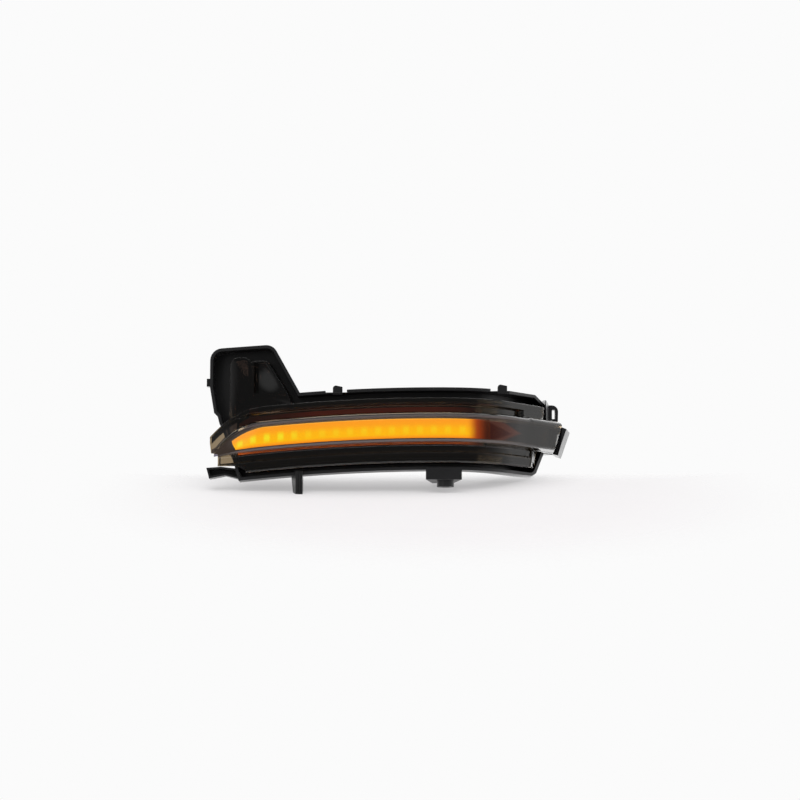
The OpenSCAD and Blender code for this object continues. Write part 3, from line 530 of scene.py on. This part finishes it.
def solder_mask(name, mask, copper):
    """Screen-printed solder mask on glass laminate: a flat sheen with slightly paler tracks under it,
    0.6 mm wide and drawn square, and a faint weave of the laminate's 0.5 mm cloth."""
    material, add, coords = new_material(name)
    at = {"Vector": coords["Object"]}
    tracks = add("TexBrick", {"Scale": 1 / (4 * MM), "Color1": (0, 0, 0, 1), "Color2": (0, 0, 0, 1),
                              "Mortar": (1, 1, 1, 1), "Mortar Size": 0.07, "Brick Width": 1.3,
                              "Row Height": 0.6}, at)
    weave = add("TexWave", {"Scale": 1 / (3 * MM), "Distortion": 0.6}, at)
    tint = add("Mix", {MIX_A: srgb(mask), MIX_B: srgb(copper)}, {0: tracks}, data_type="RGBA")
    bump = add("Bump", {"Strength": 0.2, "Distance": 0.03 * MM}, {"Height": weave.outputs["Fac"]})
    shader = add("BsdfPrincipled", {"Roughness": 0.35, "IOR": 1.52},
                 {"Base Color": tint, "Normal": bump})
    add("OutputMaterial", links={"Surface": shader})
    return material


def diode_epoxy():
    """Cast amber epoxy over the diodes: glossy, and glowing where it is lit from inside."""
    material, add, coords = new_material("lit amber epoxy")
    cloud = add("TexNoise", {"Scale": 1 / (1.5 * MM), "Detail": 1.0}, {"Vector": coords["Object"]})
    glow = add("ValToRGB", links={0: cloud}, stops=[(0.3, "#ffb020"), (0.7, "#ffd86a")])
    shader = add("BsdfPrincipled", {"Roughness": 0.15, "IOR": 1.54, "Emission Strength": 2.0},
                 {"Base Color": glow, "Emission Color": glow})
    add("OutputMaterial", links={"Surface": shader})
    return material


# Settings

class LampLensSettings(bpy.types.PropertyGroup):
    tint: FloatVectorProperty(name="Smoke tint", description="Colour of white through the lens's wall",
                              subtype="COLOR", size=4, min=0, max=1, default=srgb("#8e7c62"))
    corner: FloatProperty(name="Corner radius", description="Rounding of the strip's crisp corners",
                          default=0.35 * MM, min=0.05 * MM, max=0.5 * MM, unit="LENGTH")
    bulge_corner: FloatProperty(name="Bulge radius", description="Rounding along the bulge's face",
                                default=3 * MM, min=0.5 * MM, max=4 * MM, unit="LENGTH")
    panel_edge: FloatProperty(name="Panel edge", description="Edge radius of the finger and the sail",
                              default=0.6 * MM, min=0.2 * MM, max=1 * MM, unit="LENGTH")
    lean: FloatProperty(name="Bulge lean", description="How far the face's foot lies behind its top",
                        default=LEAN * MM, min=0.0, max=1 * MM, unit="LENGTH")


class LampLightSettings(bpy.types.PropertyGroup):
    strength: FloatProperty(name="Glow", description="Emission strength of the light guide's face",
                            default=3.9, min=0.0, max=20.0)
    step: FloatProperty(name="Station step", description="Distance between the guide's rings on the bow",
                        default=2 * MM, min=1 * MM, max=8 * MM, unit="LENGTH")


class LampCaseSettings(bpy.types.PropertyGroup):
    colour: FloatVectorProperty(name="Case colour", description="Colour of the moulded case",
                                subtype="COLOR", size=4, min=0, max=1, default=srgb("#1b1b1c"))
    edge: FloatProperty(name="Edge", description="Radius of the moulding's edges in the shading",
                        default=0.4 * MM, min=0.05 * MM, max=1 * MM, unit="LENGTH")


class LampStageSettings(bpy.types.PropertyGroup):
    lean: FloatProperty(name="Lean", description="Angle by which the lamp leans back on the floor",
                        default=math.radians(16), subtype="ANGLE", unit="ROTATION")
    key: FloatProperty(name="Overhead lamp", description="Power of the soft lamp above", default=6.5,
                       min=0.0, unit="POWER")
    fill: FloatProperty(name="Fill", description="Strength of the even light from all round",
                        default=0.42, min=0.0)
    backdrop: FloatVectorProperty(name="Backdrop", description="Colour of the plain background",
                                  subtype="COLOR", size=4, min=0, max=1, default=srgb("#fbfbfb"))


# The lens

def lens_loop(s, lean):
    """Lens section at each station: flange, groove, rounded bulge, recessed band and lower step, then
    back up inside. The face of the bulge leans, so that its foot lies behind its top."""
    zf, zg, zb, foot = flange_z(s), groove_z(s), bulge_z(s), bulge_low(s)
    zl, zs = arched(BAND_FOOT, s), arched(LENS_FOOT, s)
    e, f, g, b, t = bulge_size(s), FLANGE_OUT, groove_d(s), bulge_d(s), LENS_WALL
    k, n, i, mid, h = b / BULGE_OUT, -0.4 - 0.6 * tip_fade(s), f - t, (zb + foot) / 2, zf - zg
    low, half = lean * k, 0.45 * lean * k
    return loop_of(s, [
        (f - 0.5, zf), (f, zf - 0.12 * h), (f, zg + 0.05 * h), (f - 0.1, zg), (g, zg - 0.6),
        (g, zb + 1.0), (g + 0.55 * (b - g), zb + 0.7), (g + 0.8 * (b - g), zb - 0.2 * e),
        (g + 0.93 * (b - g), zb - 1.4 * e), (g + 0.99 * (b - g), zb - 3.6 * e), (b - half, mid),
        (n + 0.98 * (b - n) - low, foot + 2.6 * e), (n + 0.92 * (b - n) - low, foot + 1.0 * e),
        (n + 0.8 * (b - n) - low, foot + 0.1), (n + 0.2 * (b - n), foot - 0.8), (n, foot - 1.6),
        (n, zl + 0.9), (f, zl - 0.1), (f + 0.2, zl - 1.0), (f, zs + 1), (f - 0.5, zs),
        (i, zs), (i, zs + 1), (i, zl - 1.0), (i, zl), (i, zl + 1.2), (i, foot - 1.1),
        (i + 0.25 * (b - i), foot + 0.3 * e), (b - t - 0.8 * k - low, foot + 1.0 * e),
        (b - t - 0.3 * k - low, foot + 2.0 * e), (b - t - low, foot + 4.2 * e),
        (b - t - half, mid), (b - t, zb - 4.6 * e), (b - t - 0.3 * k, zb - 3.2 * e),
        (b - t - 0.9 * k, zb - 2.3 * e), (g - t + 0.45 * (b - g), zb - 1.2 * e), (g - t, zb - 1.0 * e),
        (g - t, zg + 0.27 * h), (i - 0.1, zg + 0.32 * h), (i, zg + 0.38 * h), (i, zf - 0.12 * h), (i, zf)])


def lens_strip(settings):
    """The section carried along the front curve, then cut by the strip's front outline."""
    stops = stations(TIP_S, END_S)
    loop = lens_loop(stops, settings.lean / MM)
    radius = np.full((loop.shape[1], 1), settings.corner / MM)
    # Corners 6 to 12 lie round the bulge's face.
    radius[6:13] = settings.bulge_corner / MM
    strip = piece("smoked_lens", *sweep(stops, rounded(loop, radius)))
    outline = np.array([
        [TIP_S + 1.2, 19.6], [-132.3, 19], [-132.3, 12.1], [-116.3, 12.1], [-114.5, 0],
        [STEP_END_X - 1.4, 0], [STEP_END_X + 2.4, BULGE_FOOT - 1.4], [END_S - 23.7, BULGE_FOOT - 1.4],
        [END_S - 17.4, BULGE_TOP + 0.8], [FLANGE_END_X - 0.7, BULGE_TOP + 0.8],
        [FLANGE_END_X + 0.6, FLANGE_TOP + 1], [FLANGE_END_X + 0.6, 70], [TIP_S - 1, 70], [TIP_S, 28.8]])
    combine(strip, piece("outline_cut", *plate(outline, -60, 130)), "INTERSECT")
    # End wall of the lower step: it turns back beside the rim, so that its outer face is seen edge-on.
    wall = np.array([[-0.9, -1.2], [0.0, -0.6], [2.6, 8.4], [1.8, 8.8]])
    front = place(np.linspace(55.0, 85.0, 31), FLANGE_OUT)
    rings = [np.column_stack([wall[:, 0] + x, wall[:, 1] + np.interp(x, *front), np.full(4, z)])
             for x, z in ((STEP_END_X + 0.6, 14.4), (STEP_END_X + 2.1, BULGE_FOOT - 1.9))]
    combine(strip, piece("step_wall", *rings_solid(rings)), "UNION")
    return strip


def lens_panel(settings):
    """Hollow panel in the pocket: a finger, a foot and a sail-shaped recess whose floor slants back,
    y = front + (distance to the slant) tan(turn)."""
    top = np.concatenate([
        [[22.4, 48.2]], [SLANT_LOW], arc(SLANT_HIGH[0] - 2.4, SLANT_HIGH[1] - 0.6, 2.4, 32, 90),
        [[FINGER_R + 1.4, SLANT_HIGH[1] + 1.8]], arc(FINGER_R - 5, FINGER_TOP - 5, 5, 25, 90),
        arc(FINGER_L + 5, FINGER_TOP - 5, 5, 90, 180)])
    outline = np.concatenate([[[FINGER_L, 40], [24, 46.6]], top])
    hollow = PANEL_FRONT + LENS_WALL + 0.5
    panel = piece("lens_panel", *plate(outline, PANEL_FRONT, BLOCK_BACK, settings.panel_edge / MM))
    combine(panel, piece("hollow", *plate(inset(outline, BLOCK_WALL), hollow, BLOCK_BACK + 1)), "DIFFERENCE")
    mouth = np.array([[FINGER_L + BLOCK_WALL, 30], [20, 30], [20, 50], [FINGER_L + BLOCK_WALL, 50]])
    combine(panel, piece("mouth", *plate(mouth, hollow, BLOCK_BACK + 1)), "DIFFERENCE")
    sail = np.concatenate([
        [[FINGER_R + 0.4, SLANT_LOW[1]], [SLANT_LOW[0] - 0.3, SLANT_LOW[1]]],
        arc(SLANT_HIGH[0] - 2.9, SLANT_HIGH[1] - 1, 2.4, 32, 90), [[FINGER_R + 0.4, SLANT_HIGH[1] + 1.4]]])
    combine(panel, piece("sail", *plate(sail, PANEL_FRONT + 0.2, BLOCK_BACK)), "UNION")
    recess = inset(sail, SAIL_RIM)
    floor = SAIL_FRONT + (SLANT_LOW[0] - recess[:, 0]) * math.tan(SAIL_TURN)
    combine(panel, piece("recess", *rings_solid([ring(recess, -1), ring(recess, floor)])), "DIFFERENCE")
    behind = floor + LENS_WALL / math.cos(SAIL_TURN)
    combine(panel, piece("behind", *rings_solid([ring(recess, behind), ring(recess, 20)])), "DIFFERENCE")
    soften(panel, 0.25)
    to_pocket(panel)
    return panel


class LAMP_OT_lens(bpy.types.Operator):
    """Makes the smoked lens: the wrapped strip and the hollow panel that it raises into the pocket"""
    bl_idname = "lamp.make_lens"
    bl_label = "Make lens"

    def execute(self, context):
        settings = context.scene.lamp_lens
        strip = lens_strip(settings)
        combine(strip, lens_panel(settings), "UNION")
        settle(strip, smoked_polycarbonate(settings.tint), "smoked_lens", "lens")
        return {"FINISHED"}


# The light guide and the bezel

def strip_uv(stops, loop, share):
    """UV of a sweep's points: u is the station over 100 mm, v the given share."""
    shape = loop.shape[:2]
    stops = stops if stops.ndim == 2 else stops[:, None]
    return np.stack([np.broadcast_to(stops / 100, shape), np.broadcast_to(share, shape)], -1).reshape(-1, 2)


def write_uv(obj, values):
    """Puts one UV value for each point into the mesh's corners."""
    corners = np.zeros(len(obj.data.loops), np.int32)
    obj.data.loops.foreach_get("vertex_index", corners)
    layer = obj.data.uv_layers.new(name="strip")
    layer.data.foreach_set("uv", values[corners].astype(np.float32).ravel())


def guide_loop(s):
    """Guide section: lit face, two legs, a flange behind the groove and one under the window."""
    z, foot = window_z(s) - 0.1, window_low(s) + 0.1
    w, o, up = TRIM_WALL, guide_d(s), groove_z(s) - 1
    return loop_of(s, [
        (-5.9, up), (-5.9, z), (o, z), (o, foot), (-3.4, foot), (-3.4, foot - 3.2), (-3.4 - w, foot - 3.2),
        (-3.4 - w, foot + w), (o - 1.6, foot + w), (o - 1.6, z - w), (-5.9 - w, z - w), (-5.9 - w, up)])


class LAMP_OT_light_guide(bpy.types.Operator):
    """Makes the lit light guide behind the bulge"""
    bl_idname = "lamp.make_light_guide"
    bl_label = "Make light guide"

    def execute(self, context):
        settings = context.scene.lamp_light
        stops = stations(GUIDE_START, GUIDE_END, bow_step=settings.step / MM)
        loop = rounded(guide_loop(stops), 0.25)
        z, foot = window_z(stops)[:, None] - 0.1, window_low(stops)[:, None] + 0.1
        # Share of the face's height. Past the face it goes on by one for each 10 mm.
        up = loop[:, :, 1]
        share = np.where(up > z, 1 + (up - z) / 10, (up - foot) / np.where(up < foot, 10, z - foot))
        # The face's inboard edge is slanted, and the legs start 3 mm further on.
        face = loop[:, :, 0] > guide_d(stops)[:, None] - 0.4
        slant = np.where(face, EDGE_SLANT * (1 - ramp(share)), 3.0)
        stops = stops[:, None] + slant * ramp(1 - (stops[:, None] - GUIDE_START) / 12)
        guide = piece("light_guide_lit", *sweep(stops, loop))
        write_uv(guide, strip_uv(stops, loop, share))
        settle(guide, lit_acrylic(settings.strength), "amber_guide", "light_guide")
        return {"FINISHED"}


def sill_top(s):
    """Sill over the window: a lip beside the lit face, sloping back to the bezel's back."""
    o, z = guide_d(s) + 0.2, window_z(s)
    return [(o, z), (o, z + 0.6), (o - 1.3, z + 1), (BEZEL_BACK, z + 1), (BEZEL_BACK, z + 0.1), (o - 1.1, z)]


def sill_foot(s):
    """The same lip and slope under the window."""
    o, z = guide_d(s) + 0.2, window_low(s)
    return [(o - 1.1, z), (BEZEL_BACK, z - 0.1), (BEZEL_BACK, z - 1), (o - 1.3, z - 1), (o, z - 0.6), (o, z)]


def band_panel(s):
    """Flat panel behind the recessed band and the lower step."""
    top, foot = window_low(s) - 3.4, arched(LENS_FOOT + 3, s)
    return [(PANEL_D, top), (PANEL_D - TRIM_WALL, top), (PANEL_D - TRIM_WALL, foot), (PANEL_D, foot)]


def screen_web(s):
    """Web from the screen's foot back to the panel, and down behind it."""
    z, foot, front = window_low(s), arched(LENS_FOOT + 4, s), BEZEL_BACK + 1
    return [(front, z + 0.5), (PANEL_D - TRIM_WALL, z + 0.5), (PANEL_D - TRIM_WALL, foot), (PANEL_D, foot),
            (PANEL_D, z - 0.7), (front, z - 0.7)]


def inner_wall(s, height):
    """Depth just inside the bulge's leaning face at a height."""
    fall = (bulge_z(s) - height) / np.maximum(bulge_z(s) - bulge_low(s), 0.5)
    return bulge_d(s) - LENS_WALL - 0.35 - LEAN * bulge_d(s) / BULGE_OUT * ramp(fall)


def lining(low, high):
    """Section of a lining 0.5 mm thick on the bulge's inner wall, between two heights."""
    def section(s):
        a, b = low(s), high(s)
        m = (a + b) / 2
        return [(inner_wall(s, b) - 0.9, b), (inner_wall(s, m) - 0.6, m), (inner_wall(s, a) - 0.5, a),
                (inner_wall(s, a), a), (inner_wall(s, m) - 0.1, m), (inner_wall(s, b) - 0.4, b)]
    return section


def shade(low, high):
    """Section of a dark sheet 0.6 mm thick behind the lens's flat walls, between two heights, that paints
    shade in what shows through them.
    """
    def section(s):
        return [(SHADE_D, high(s)), (SHADE_D - 0.6, high(s)), (SHADE_D - 0.6, low(s)), (SHADE_D, low(s))]
    return section


def bulge_crown(s):
    """Height where the bulge's inner wall meets its roof."""
    return bulge_z(s) - 1.9 * bulge_size(s)


def bezel_strips():
    """The bezel's sections along the strip, each with its two ends, and with its share of painted
    stray-light
    glow: 1 where it belongs to the rim round the window and 0 where it lies deeper in."""
    left, right, inner = GUIDE_START - 0.4, END_S - 6, -122.0
    return [
        (sill_top, left, right, 1),
        (sill_foot, left, right, 1),
        (band_panel, -111.0, STEP_END_X - 1, 0),
        (screen_web, GUIDE_END + 2, STEP_END_X - 4, 0),
        # Linings above and below the window, and past the guide at the tip, with the full painted glow.
        (lining(lambda s: np.minimum(window_z(s), bulge_crown(s) - 0.1), bulge_crown), left, right, 1),
        (lining(lambda s: window_low(s) - 1.1, window_low), left, right, 1),
        (lining(lambda s: bulge_low(s) + 0.9 * bulge_size(s), bulge_crown), TIP_S + 1.8, GUIDE_START, 1),
        # Dark sheets at the inboard tip, which paint shade in what shows through the lens: behind the
        # flange, over the bulge, between both, and behind the side and the foot of the lower step. The one
        # over the bulge and the one between both carry painted stray-light glow as well.
        (shade(lambda s: flange_z(s) - 4.7, lambda s: flange_z(s) - 0.2), TIP_S + 0.6, inner, 0),
        (shade(lambda s: bulge_z(s) - 0.6, lambda s: np.minimum(bulge_z(s) + 2.0, flange_z(s) - 4.9)),
         TIP_S + 0.6, inner, 1),
        (shade(lambda s: bulge_z(s) + 1.8, lambda s: flange_z(s) - 4.5), -128.6, inner, 0.7),
        (shade(lambda s: np.full_like(s, 12.8), lambda s: np.full_like(s, 18.6)), -132.2, -131.5, 0),
        (shade(lambda s: np.full_like(s, 12.3), lambda s: np.full_like(s, 13.1)), -131.8, -118.0, 0)]


class LAMP_OT_bezel(bpy.types.Operator):
    """Makes the black bezel round the lit window"""
    bl_idname = "lamp.make_bezel"
    bl_label = "Make bezel"

    def execute(self, context):
        skins, uvs = [], []
        for section, first, last, painted_glow_share in bezel_strips():
            stops = stations(first, last)
            loop = rounded(loop_of(stops, section(stops))[:, ::-1], 0.1, 3)
            if last == GUIDE_START:
                # This lining ends along the slanted edge of the guide's face.
                foot, top = window_low(stops)[:, None], window_z(stops)[:, None]
                slant = EDGE_SLANT * (1 - ramp((loop[:, :, 1] - foot) / (top - foot)))
                stops = stops[:, None] + slant * ramp(1 - (last - stops[:, None]) / 8)
            skins.append(sweep(stops, loop))
            uvs.append(strip_uv(stops, loop, painted_glow_share))
        bezel = joined("bezel_moulding", skins)
        write_uv(bezel, np.concatenate(uvs))
        settle(bezel, bezel_abs(), "bezel_plastic", "bezel")
        # The screen fills the window past the guide's end.
        stops = stations(GUIDE_END + 0.3, END_S - 6)
        high, low, front = window_z(stops) + 0.7, window_low(stops) - 0.7, BEZEL_BACK + TRIM_WALL
        loop = loop_of(stops, [(front, low), (BEZEL_BACK, low), (BEZEL_BACK, high), (front, high)])
        screen = piece("bezel_screen", *sweep(stops, loop))
        write_uv(screen, strip_uv(stops, loop, np.array([[0.0, 0.0, 1.0, 1.0]])))
        settle(screen, screen_abs(), "bezel_plastic", "bezel")
        return {"FINISHED"}


# Finishes of the CAD nodes

def dress(finishes):
    """Puts one material on every slot of each CAD node named."""
    for node, material in finishes.items():
        slots = NODES[node].data.materials
        if not slots:
            slots.append(material)
        for i in range(len(slots)):
            slots[i] = material


class LAMP_OT_case(bpy.types.Operator):
    """Finishes the case, the sealing bead, the vent cap and the pin carrier"""
    bl_idname = "lamp.finish_case"
    bl_label = "Finish case"

    def execute(self, context):
        settings = context.scene.lamp_case
        dress({
            # Injection-moulded ABS from a spark-eroded mould: black with a satin grain of about 0.2 mm,
            # drawn at 0.7 mm so that it shows, shinier in patches, and with soft bright edges.
            "housing": moulded("satin black ABS", settings.colour, "#232324", 0.34, 0.7, 0.025, ior=1.53,
                               edge_mm=settings.edge / MM),
            # Hot-laid butyl sealant: dull black with a slightly lumpy skin.
            "seal_bead": moulded("butyl sealant", "#101010", "#1a1918", 0.7, 2.0, 0.1, ior=1.52),
            # Sintered polytetrafluoroethylene cap: chalky pale grey with a fine pore pattern.
            "vent_cap": moulded("porous membrane cap", "#bdbcb8", "#cfcec9", 0.75, 0.5, 0.05, ior=1.38),
            # Glass-filled nylon: dark grey, matt, with short fibre streaks.
            "pin_carrier": moulded("glass-filled nylon", "#26262a", "#34343a", 0.55, 0.6, 0.04, ior=1.53),
        })
        return {"FINISHED"}


class LAMP_OT_boards(bpy.types.Operator):
    """Finishes both circuit boards and what is soldered, screwed or plugged on them"""
    bl_idname = "lamp.finish_boards"
    bl_label = "Finish boards"

    def execute(self, context):
        # Moulded epoxy of the chips and thick-film resistors: dull charcoal with a fine sandy skin.
        epoxy = moulded("moulded epoxy", "#1c1c1e", "#29292b", 0.5, 0.35, 0.02, ior=1.55)
        # Zinc-plated steel: bright grey with a blurred cloudy mirror image.
        zinc = moulded("zinc-plated steel", "#b4b4b8", "#cfcfd4", 0.32, 0.8, 0.02, metallic=1.0)
        dress({
            # High-gloss white polycarbonate, so that it throws the light forward.
            "reflector": moulded("white polycarbonate", "#e4e4de", "#f0f0ea", 0.3, 1.0, 0.02, ior=1.58),
            "light_board": solder_mask("white solder mask", "#dcdcd4", "#cfcdc0"),
            "driver_board": solder_mask("green solder mask", "#134a26", "#2c6e3d"),
            "leds": diode_epoxy(),
            "light_resistors": epoxy, "driver_chip": epoxy, "regulator": epoxy, "polarity_diode": epoxy,
            "driver_resistors": epoxy,
            "light_board_screws": zinc, "driver_board_screws": zinc,
            # Sintered manganese-zinc ferrite: dull dark grey and slightly rough.
            "inductor": moulded("sintered ferrite", "#2e2e31", "#3b3b3f", 0.6, 0.4, 0.05, ior=1.6),
            # Drawn aluminium can: pale, with a soft shine.
            "filter_capacitor": moulded("drawn aluminium", "#c8cacd", "#dcdee0", 0.28, 0.5, 0.01,
                                        metallic=1.0),
            # Fired barium titanate: biscuit brown and even.
            "ceramic_capacitors": moulded("fired ceramic", "#a88660", "#b9976f", 0.4, 0.3, 0.01, ior=1.6),
            # Polyimide film over copper: glossy orange brown.
            "board_link": moulded("polyimide film", "#b4561a", "#c76a26", 0.2, 1.5, 0.02, ior=1.68),
            # Tin-plated brass: pale yellow grey with a soft mirror image.
            "connector_pins": moulded("tin-plated brass", "#c4b680", "#d6cca0", 0.25, 0.5, 0.01,
                                      metallic=1.0),
        })
        return {"FINISHED"}


# The stage

CAMERA_AT = Vector((-0.026332, -1.147578, -0.090066))
CAMERA_TURN = math.radians(97)
CAMERA_LENS, CAMERA_SENSOR = 89.22, 36.0
FLOOR_DROP = -3.0 * MM


def floor_material():
    """Matt white laminate of the table: pale, slightly cool, fading out before its edge."""
    material, add, coords = new_material("matt white laminate")
    at = {"Vector": coords["Object"]}
    grain = add("TexNoise", {"Scale": 1 / (30 * MM), "Detail": 2.0}, at)
    tint = add("Mix", {MIX_A: srgb("#efedee"), MIX_B: srgb("#f3f2f2")}, {0: grain}, data_type="RGBA")
    # The white room lights the table from every side, so that its shadows stay pale.
    matt = add("BsdfPrincipled", {"Base Color": srgb("#acaaab"), "Roughness": 0.8,
                                  "Specular IOR Level": 0.0, "Emission Strength": 0.47},
               {"Emission Color": tint})
    # It ends softly behind the lamp, and along an ellipse all round.
    split = add("SeparateXYZ", links={0: coords["Object"]})
    back = add("MapRange", {"From Min": 0.026, "From Max": 0.058}, {"Value": split.outputs["Y"]},
               **SMOOTH)
    centred = add("Mapping", {"Location": (0.015, 0.02, 0.0), "Scale": (4.6, 5.5, 0.0)}, at)
    far = add("VectorMath", links={0: centred}, operation="LENGTH").outputs["Value"]
    round_off = add("MapRange", {"From Min": 0.45, "From Max": 1.0}, {"Value": far}, **SMOOTH)
    fade = add("Math", links={0: back, 1: round_off}, operation="MAXIMUM")
    mix = add("MixShader", links={0: fade, 1: matt, 2: add("BsdfTransparent")})
    add("OutputMaterial", links={"Surface": mix})
    return material


def make_world(fill, backdrop):
    """Light of the room: even light from all round, the plain backdrop for the camera, and for gloss
    and bent light a dim room in front with a paler wall on its left, the soft lamp above, and the
    white backdrop and table, brighter the further behind."""
    world = bpy.data.worlds.new("studio")
    world.use_nodes = True
    world.node_tree.nodes.clear()
    add = partial(add_node, world.node_tree)
    path = add("LightPath").outputs
    direction = add("TexCoord").outputs["Generated"]
    way = add("SeparateXYZ", links={0: direction}).outputs
    wall = Vector((-0.62, -0.78, 0.1)).normalized()
    left = add("VectorMath", {1: wall}, {0: direction}, operation="DOT_PRODUCT").outputs["Value"]
    mirrored = add("MapRange", {"From Min": 0.45, "From Max": 0.95, "To Min": 0.13, "To Max": 0.6},
                   {"Value": way["Z"]}, **SMOOTH)
    # Radiance that rises between two values of the direction, up to the last number.
    for value, start, end, gain in ((left, 0.955, 0.995, 0.4), (way["Y"], -0.6, 0.3, 0.62),
                                    (way["Y"], 0.3, 0.9, 1.5)):
        more = add("MapRange", {"From Min": start, "From Max": end, "To Max": gain}, {"Value": value},
                   **SMOOTH)
        mirrored = add("Math", links={0: mirrored, 1: more}, operation="ADD")
    straight = add("MapRange", {"From Min": 0.85, "From Max": 0.96}, {"Value": way["Y"]}, **SMOOTH)
    through = add("Mix", {2: 0.1, 3: 1.0}, {0: straight})
    strength = add("Mix", {2: fill}, {0: path["Is Glossy Ray"], 3: mirrored})
    strength = add("Mix", links={0: path["Is Transmission Ray"], 2: strength, 3: through})
    strength = add("Mix", {3: 1.0}, {0: path["Is Camera Ray"], 2: strength})
    sky = add("Background", {"Color": backdrop}, {"Strength": strength})
    add("OutputWorld", links={"Surface": sky})
    return world


class LAMP_OT_stage(bpy.types.Operator):
    """Makes the floor that the lamp leans on, the soft lamps, the room's light and the camera"""
    bl_idname = "lamp.make_stage"
    bl_label = "Make stage"

    def execute(self, context):
        settings = context.scene.lamp_stage
        scene = context.scene
        # Floor: z = drop + y tan(lean), on a grid of 8 by 6 points.
        x, y = np.meshgrid(np.linspace(-260, 230, 8), np.linspace(-220, 60, 6), indexing="ij")
        z = FLOOR_DROP / MM + y * math.tan(settings.lean)
        i, j = np.meshgrid(np.arange(7), np.arange(5), indexing="ij")
        a = i * 6 + j
        floor = piece("floor", np.stack([x, y, z], -1).reshape(-1, 3),
                      np.stack([a, a + 6, a + 7, a + 1], -1).reshape(-1, 4))
        floor.data.transform(Matrix.Scale(MM, 4))
        floor.data.materials.append(floor_material())

        up = Matrix.Rotation(settings.lean, 3, "X") @ Vector((0, 0, 1))
        for name, at, size, power in (
                ("overhead", up * 0.75 + Vector((-0.1, -0.1, 0)), 0.9, settings.key),
                ("side", Vector((0.75, -0.25, 0.35)), 0.6, settings.key * 0.3)):
            data = bpy.data.lights.new(name, "AREA")
            data.energy, data.size = power, size
            lamp = bpy.data.objects.new(name, data)
            lamp.location = at
            lamp.visible_glossy = False
            lamp.rotation_euler = (Vector((0, 0, 0.02)) - at).to_track_quat("-Z", "Y").to_euler()
            scene.collection.objects.link(lamp)

        scene.world = make_world(settings.fill, settings.backdrop)
        data = bpy.data.cameras.new("camera")
        data.lens, data.sensor_width = CAMERA_LENS, CAMERA_SENSOR
        data.clip_start, data.clip_end = 0.05, 10.0
        camera = bpy.data.objects.new("camera", data)
        camera.location, camera.rotation_euler = CAMERA_AT, (CAMERA_TURN, 0, 0)
        scene.collection.objects.link(camera)
        scene.camera = camera
        scene.view_settings.view_transform = "Standard"
        return {"FINISHED"}


# Panel and registration

class LAMP_PT_sidebar(bpy.types.Panel):
    bl_idname = "LAMP_PT_sidebar"
    bl_label = "Turn signal lamp"
    bl_space_type = "VIEW_3D"
    bl_region_type = "UI"
    bl_category = "Lamp"

    def draw(self, context):
        for group, names, operator in (
                ("lamp_lens", ("tint", "corner", "bulge_corner", "panel_edge", "lean"), "lamp.make_lens"),
                ("lamp_light", ("strength", "step"), "lamp.make_light_guide"),
                (None, (), "lamp.make_bezel"),
                ("lamp_case", ("colour", "edge"), "lamp.finish_case"),
                (None, (), "lamp.finish_boards"),
                ("lamp_stage", ("lean", "key", "fill", "backdrop"), "lamp.make_stage")):
            box = self.layout.box()
            for name in names:
                box.prop(getattr(context.scene, group), name)
            box.operator(operator)


GROUPS = {"lamp_lens": LampLensSettings, "lamp_light": LampLightSettings, "lamp_case": LampCaseSettings,
          "lamp_stage": LampStageSettings}
CLASSES = (*GROUPS.values(), LAMP_OT_lens, LAMP_OT_light_guide, LAMP_OT_bezel, LAMP_OT_case, LAMP_OT_boards,
           LAMP_OT_stage, LAMP_PT_sidebar)


def register():
    for cls in CLASSES:
        bpy.utils.register_class(cls)
    for name, group in GROUPS.items():
        setattr(bpy.types.Scene, name, PointerProperty(type=group))


def unregister():
    for name in GROUPS:
        delattr(bpy.types.Scene, name)
    for cls in reversed(CLASSES):
        bpy.utils.unregister_class(cls)


def main():
    register()
    bpy.ops.lamp.make_lens()
    bpy.ops.lamp.make_light_guide()
    bpy.ops.lamp.make_bezel()
    bpy.ops.lamp.finish_case()
    bpy.ops.lamp.finish_boards()
    bpy.ops.lamp.make_stage()


if __name__ == "__main__":
    main()
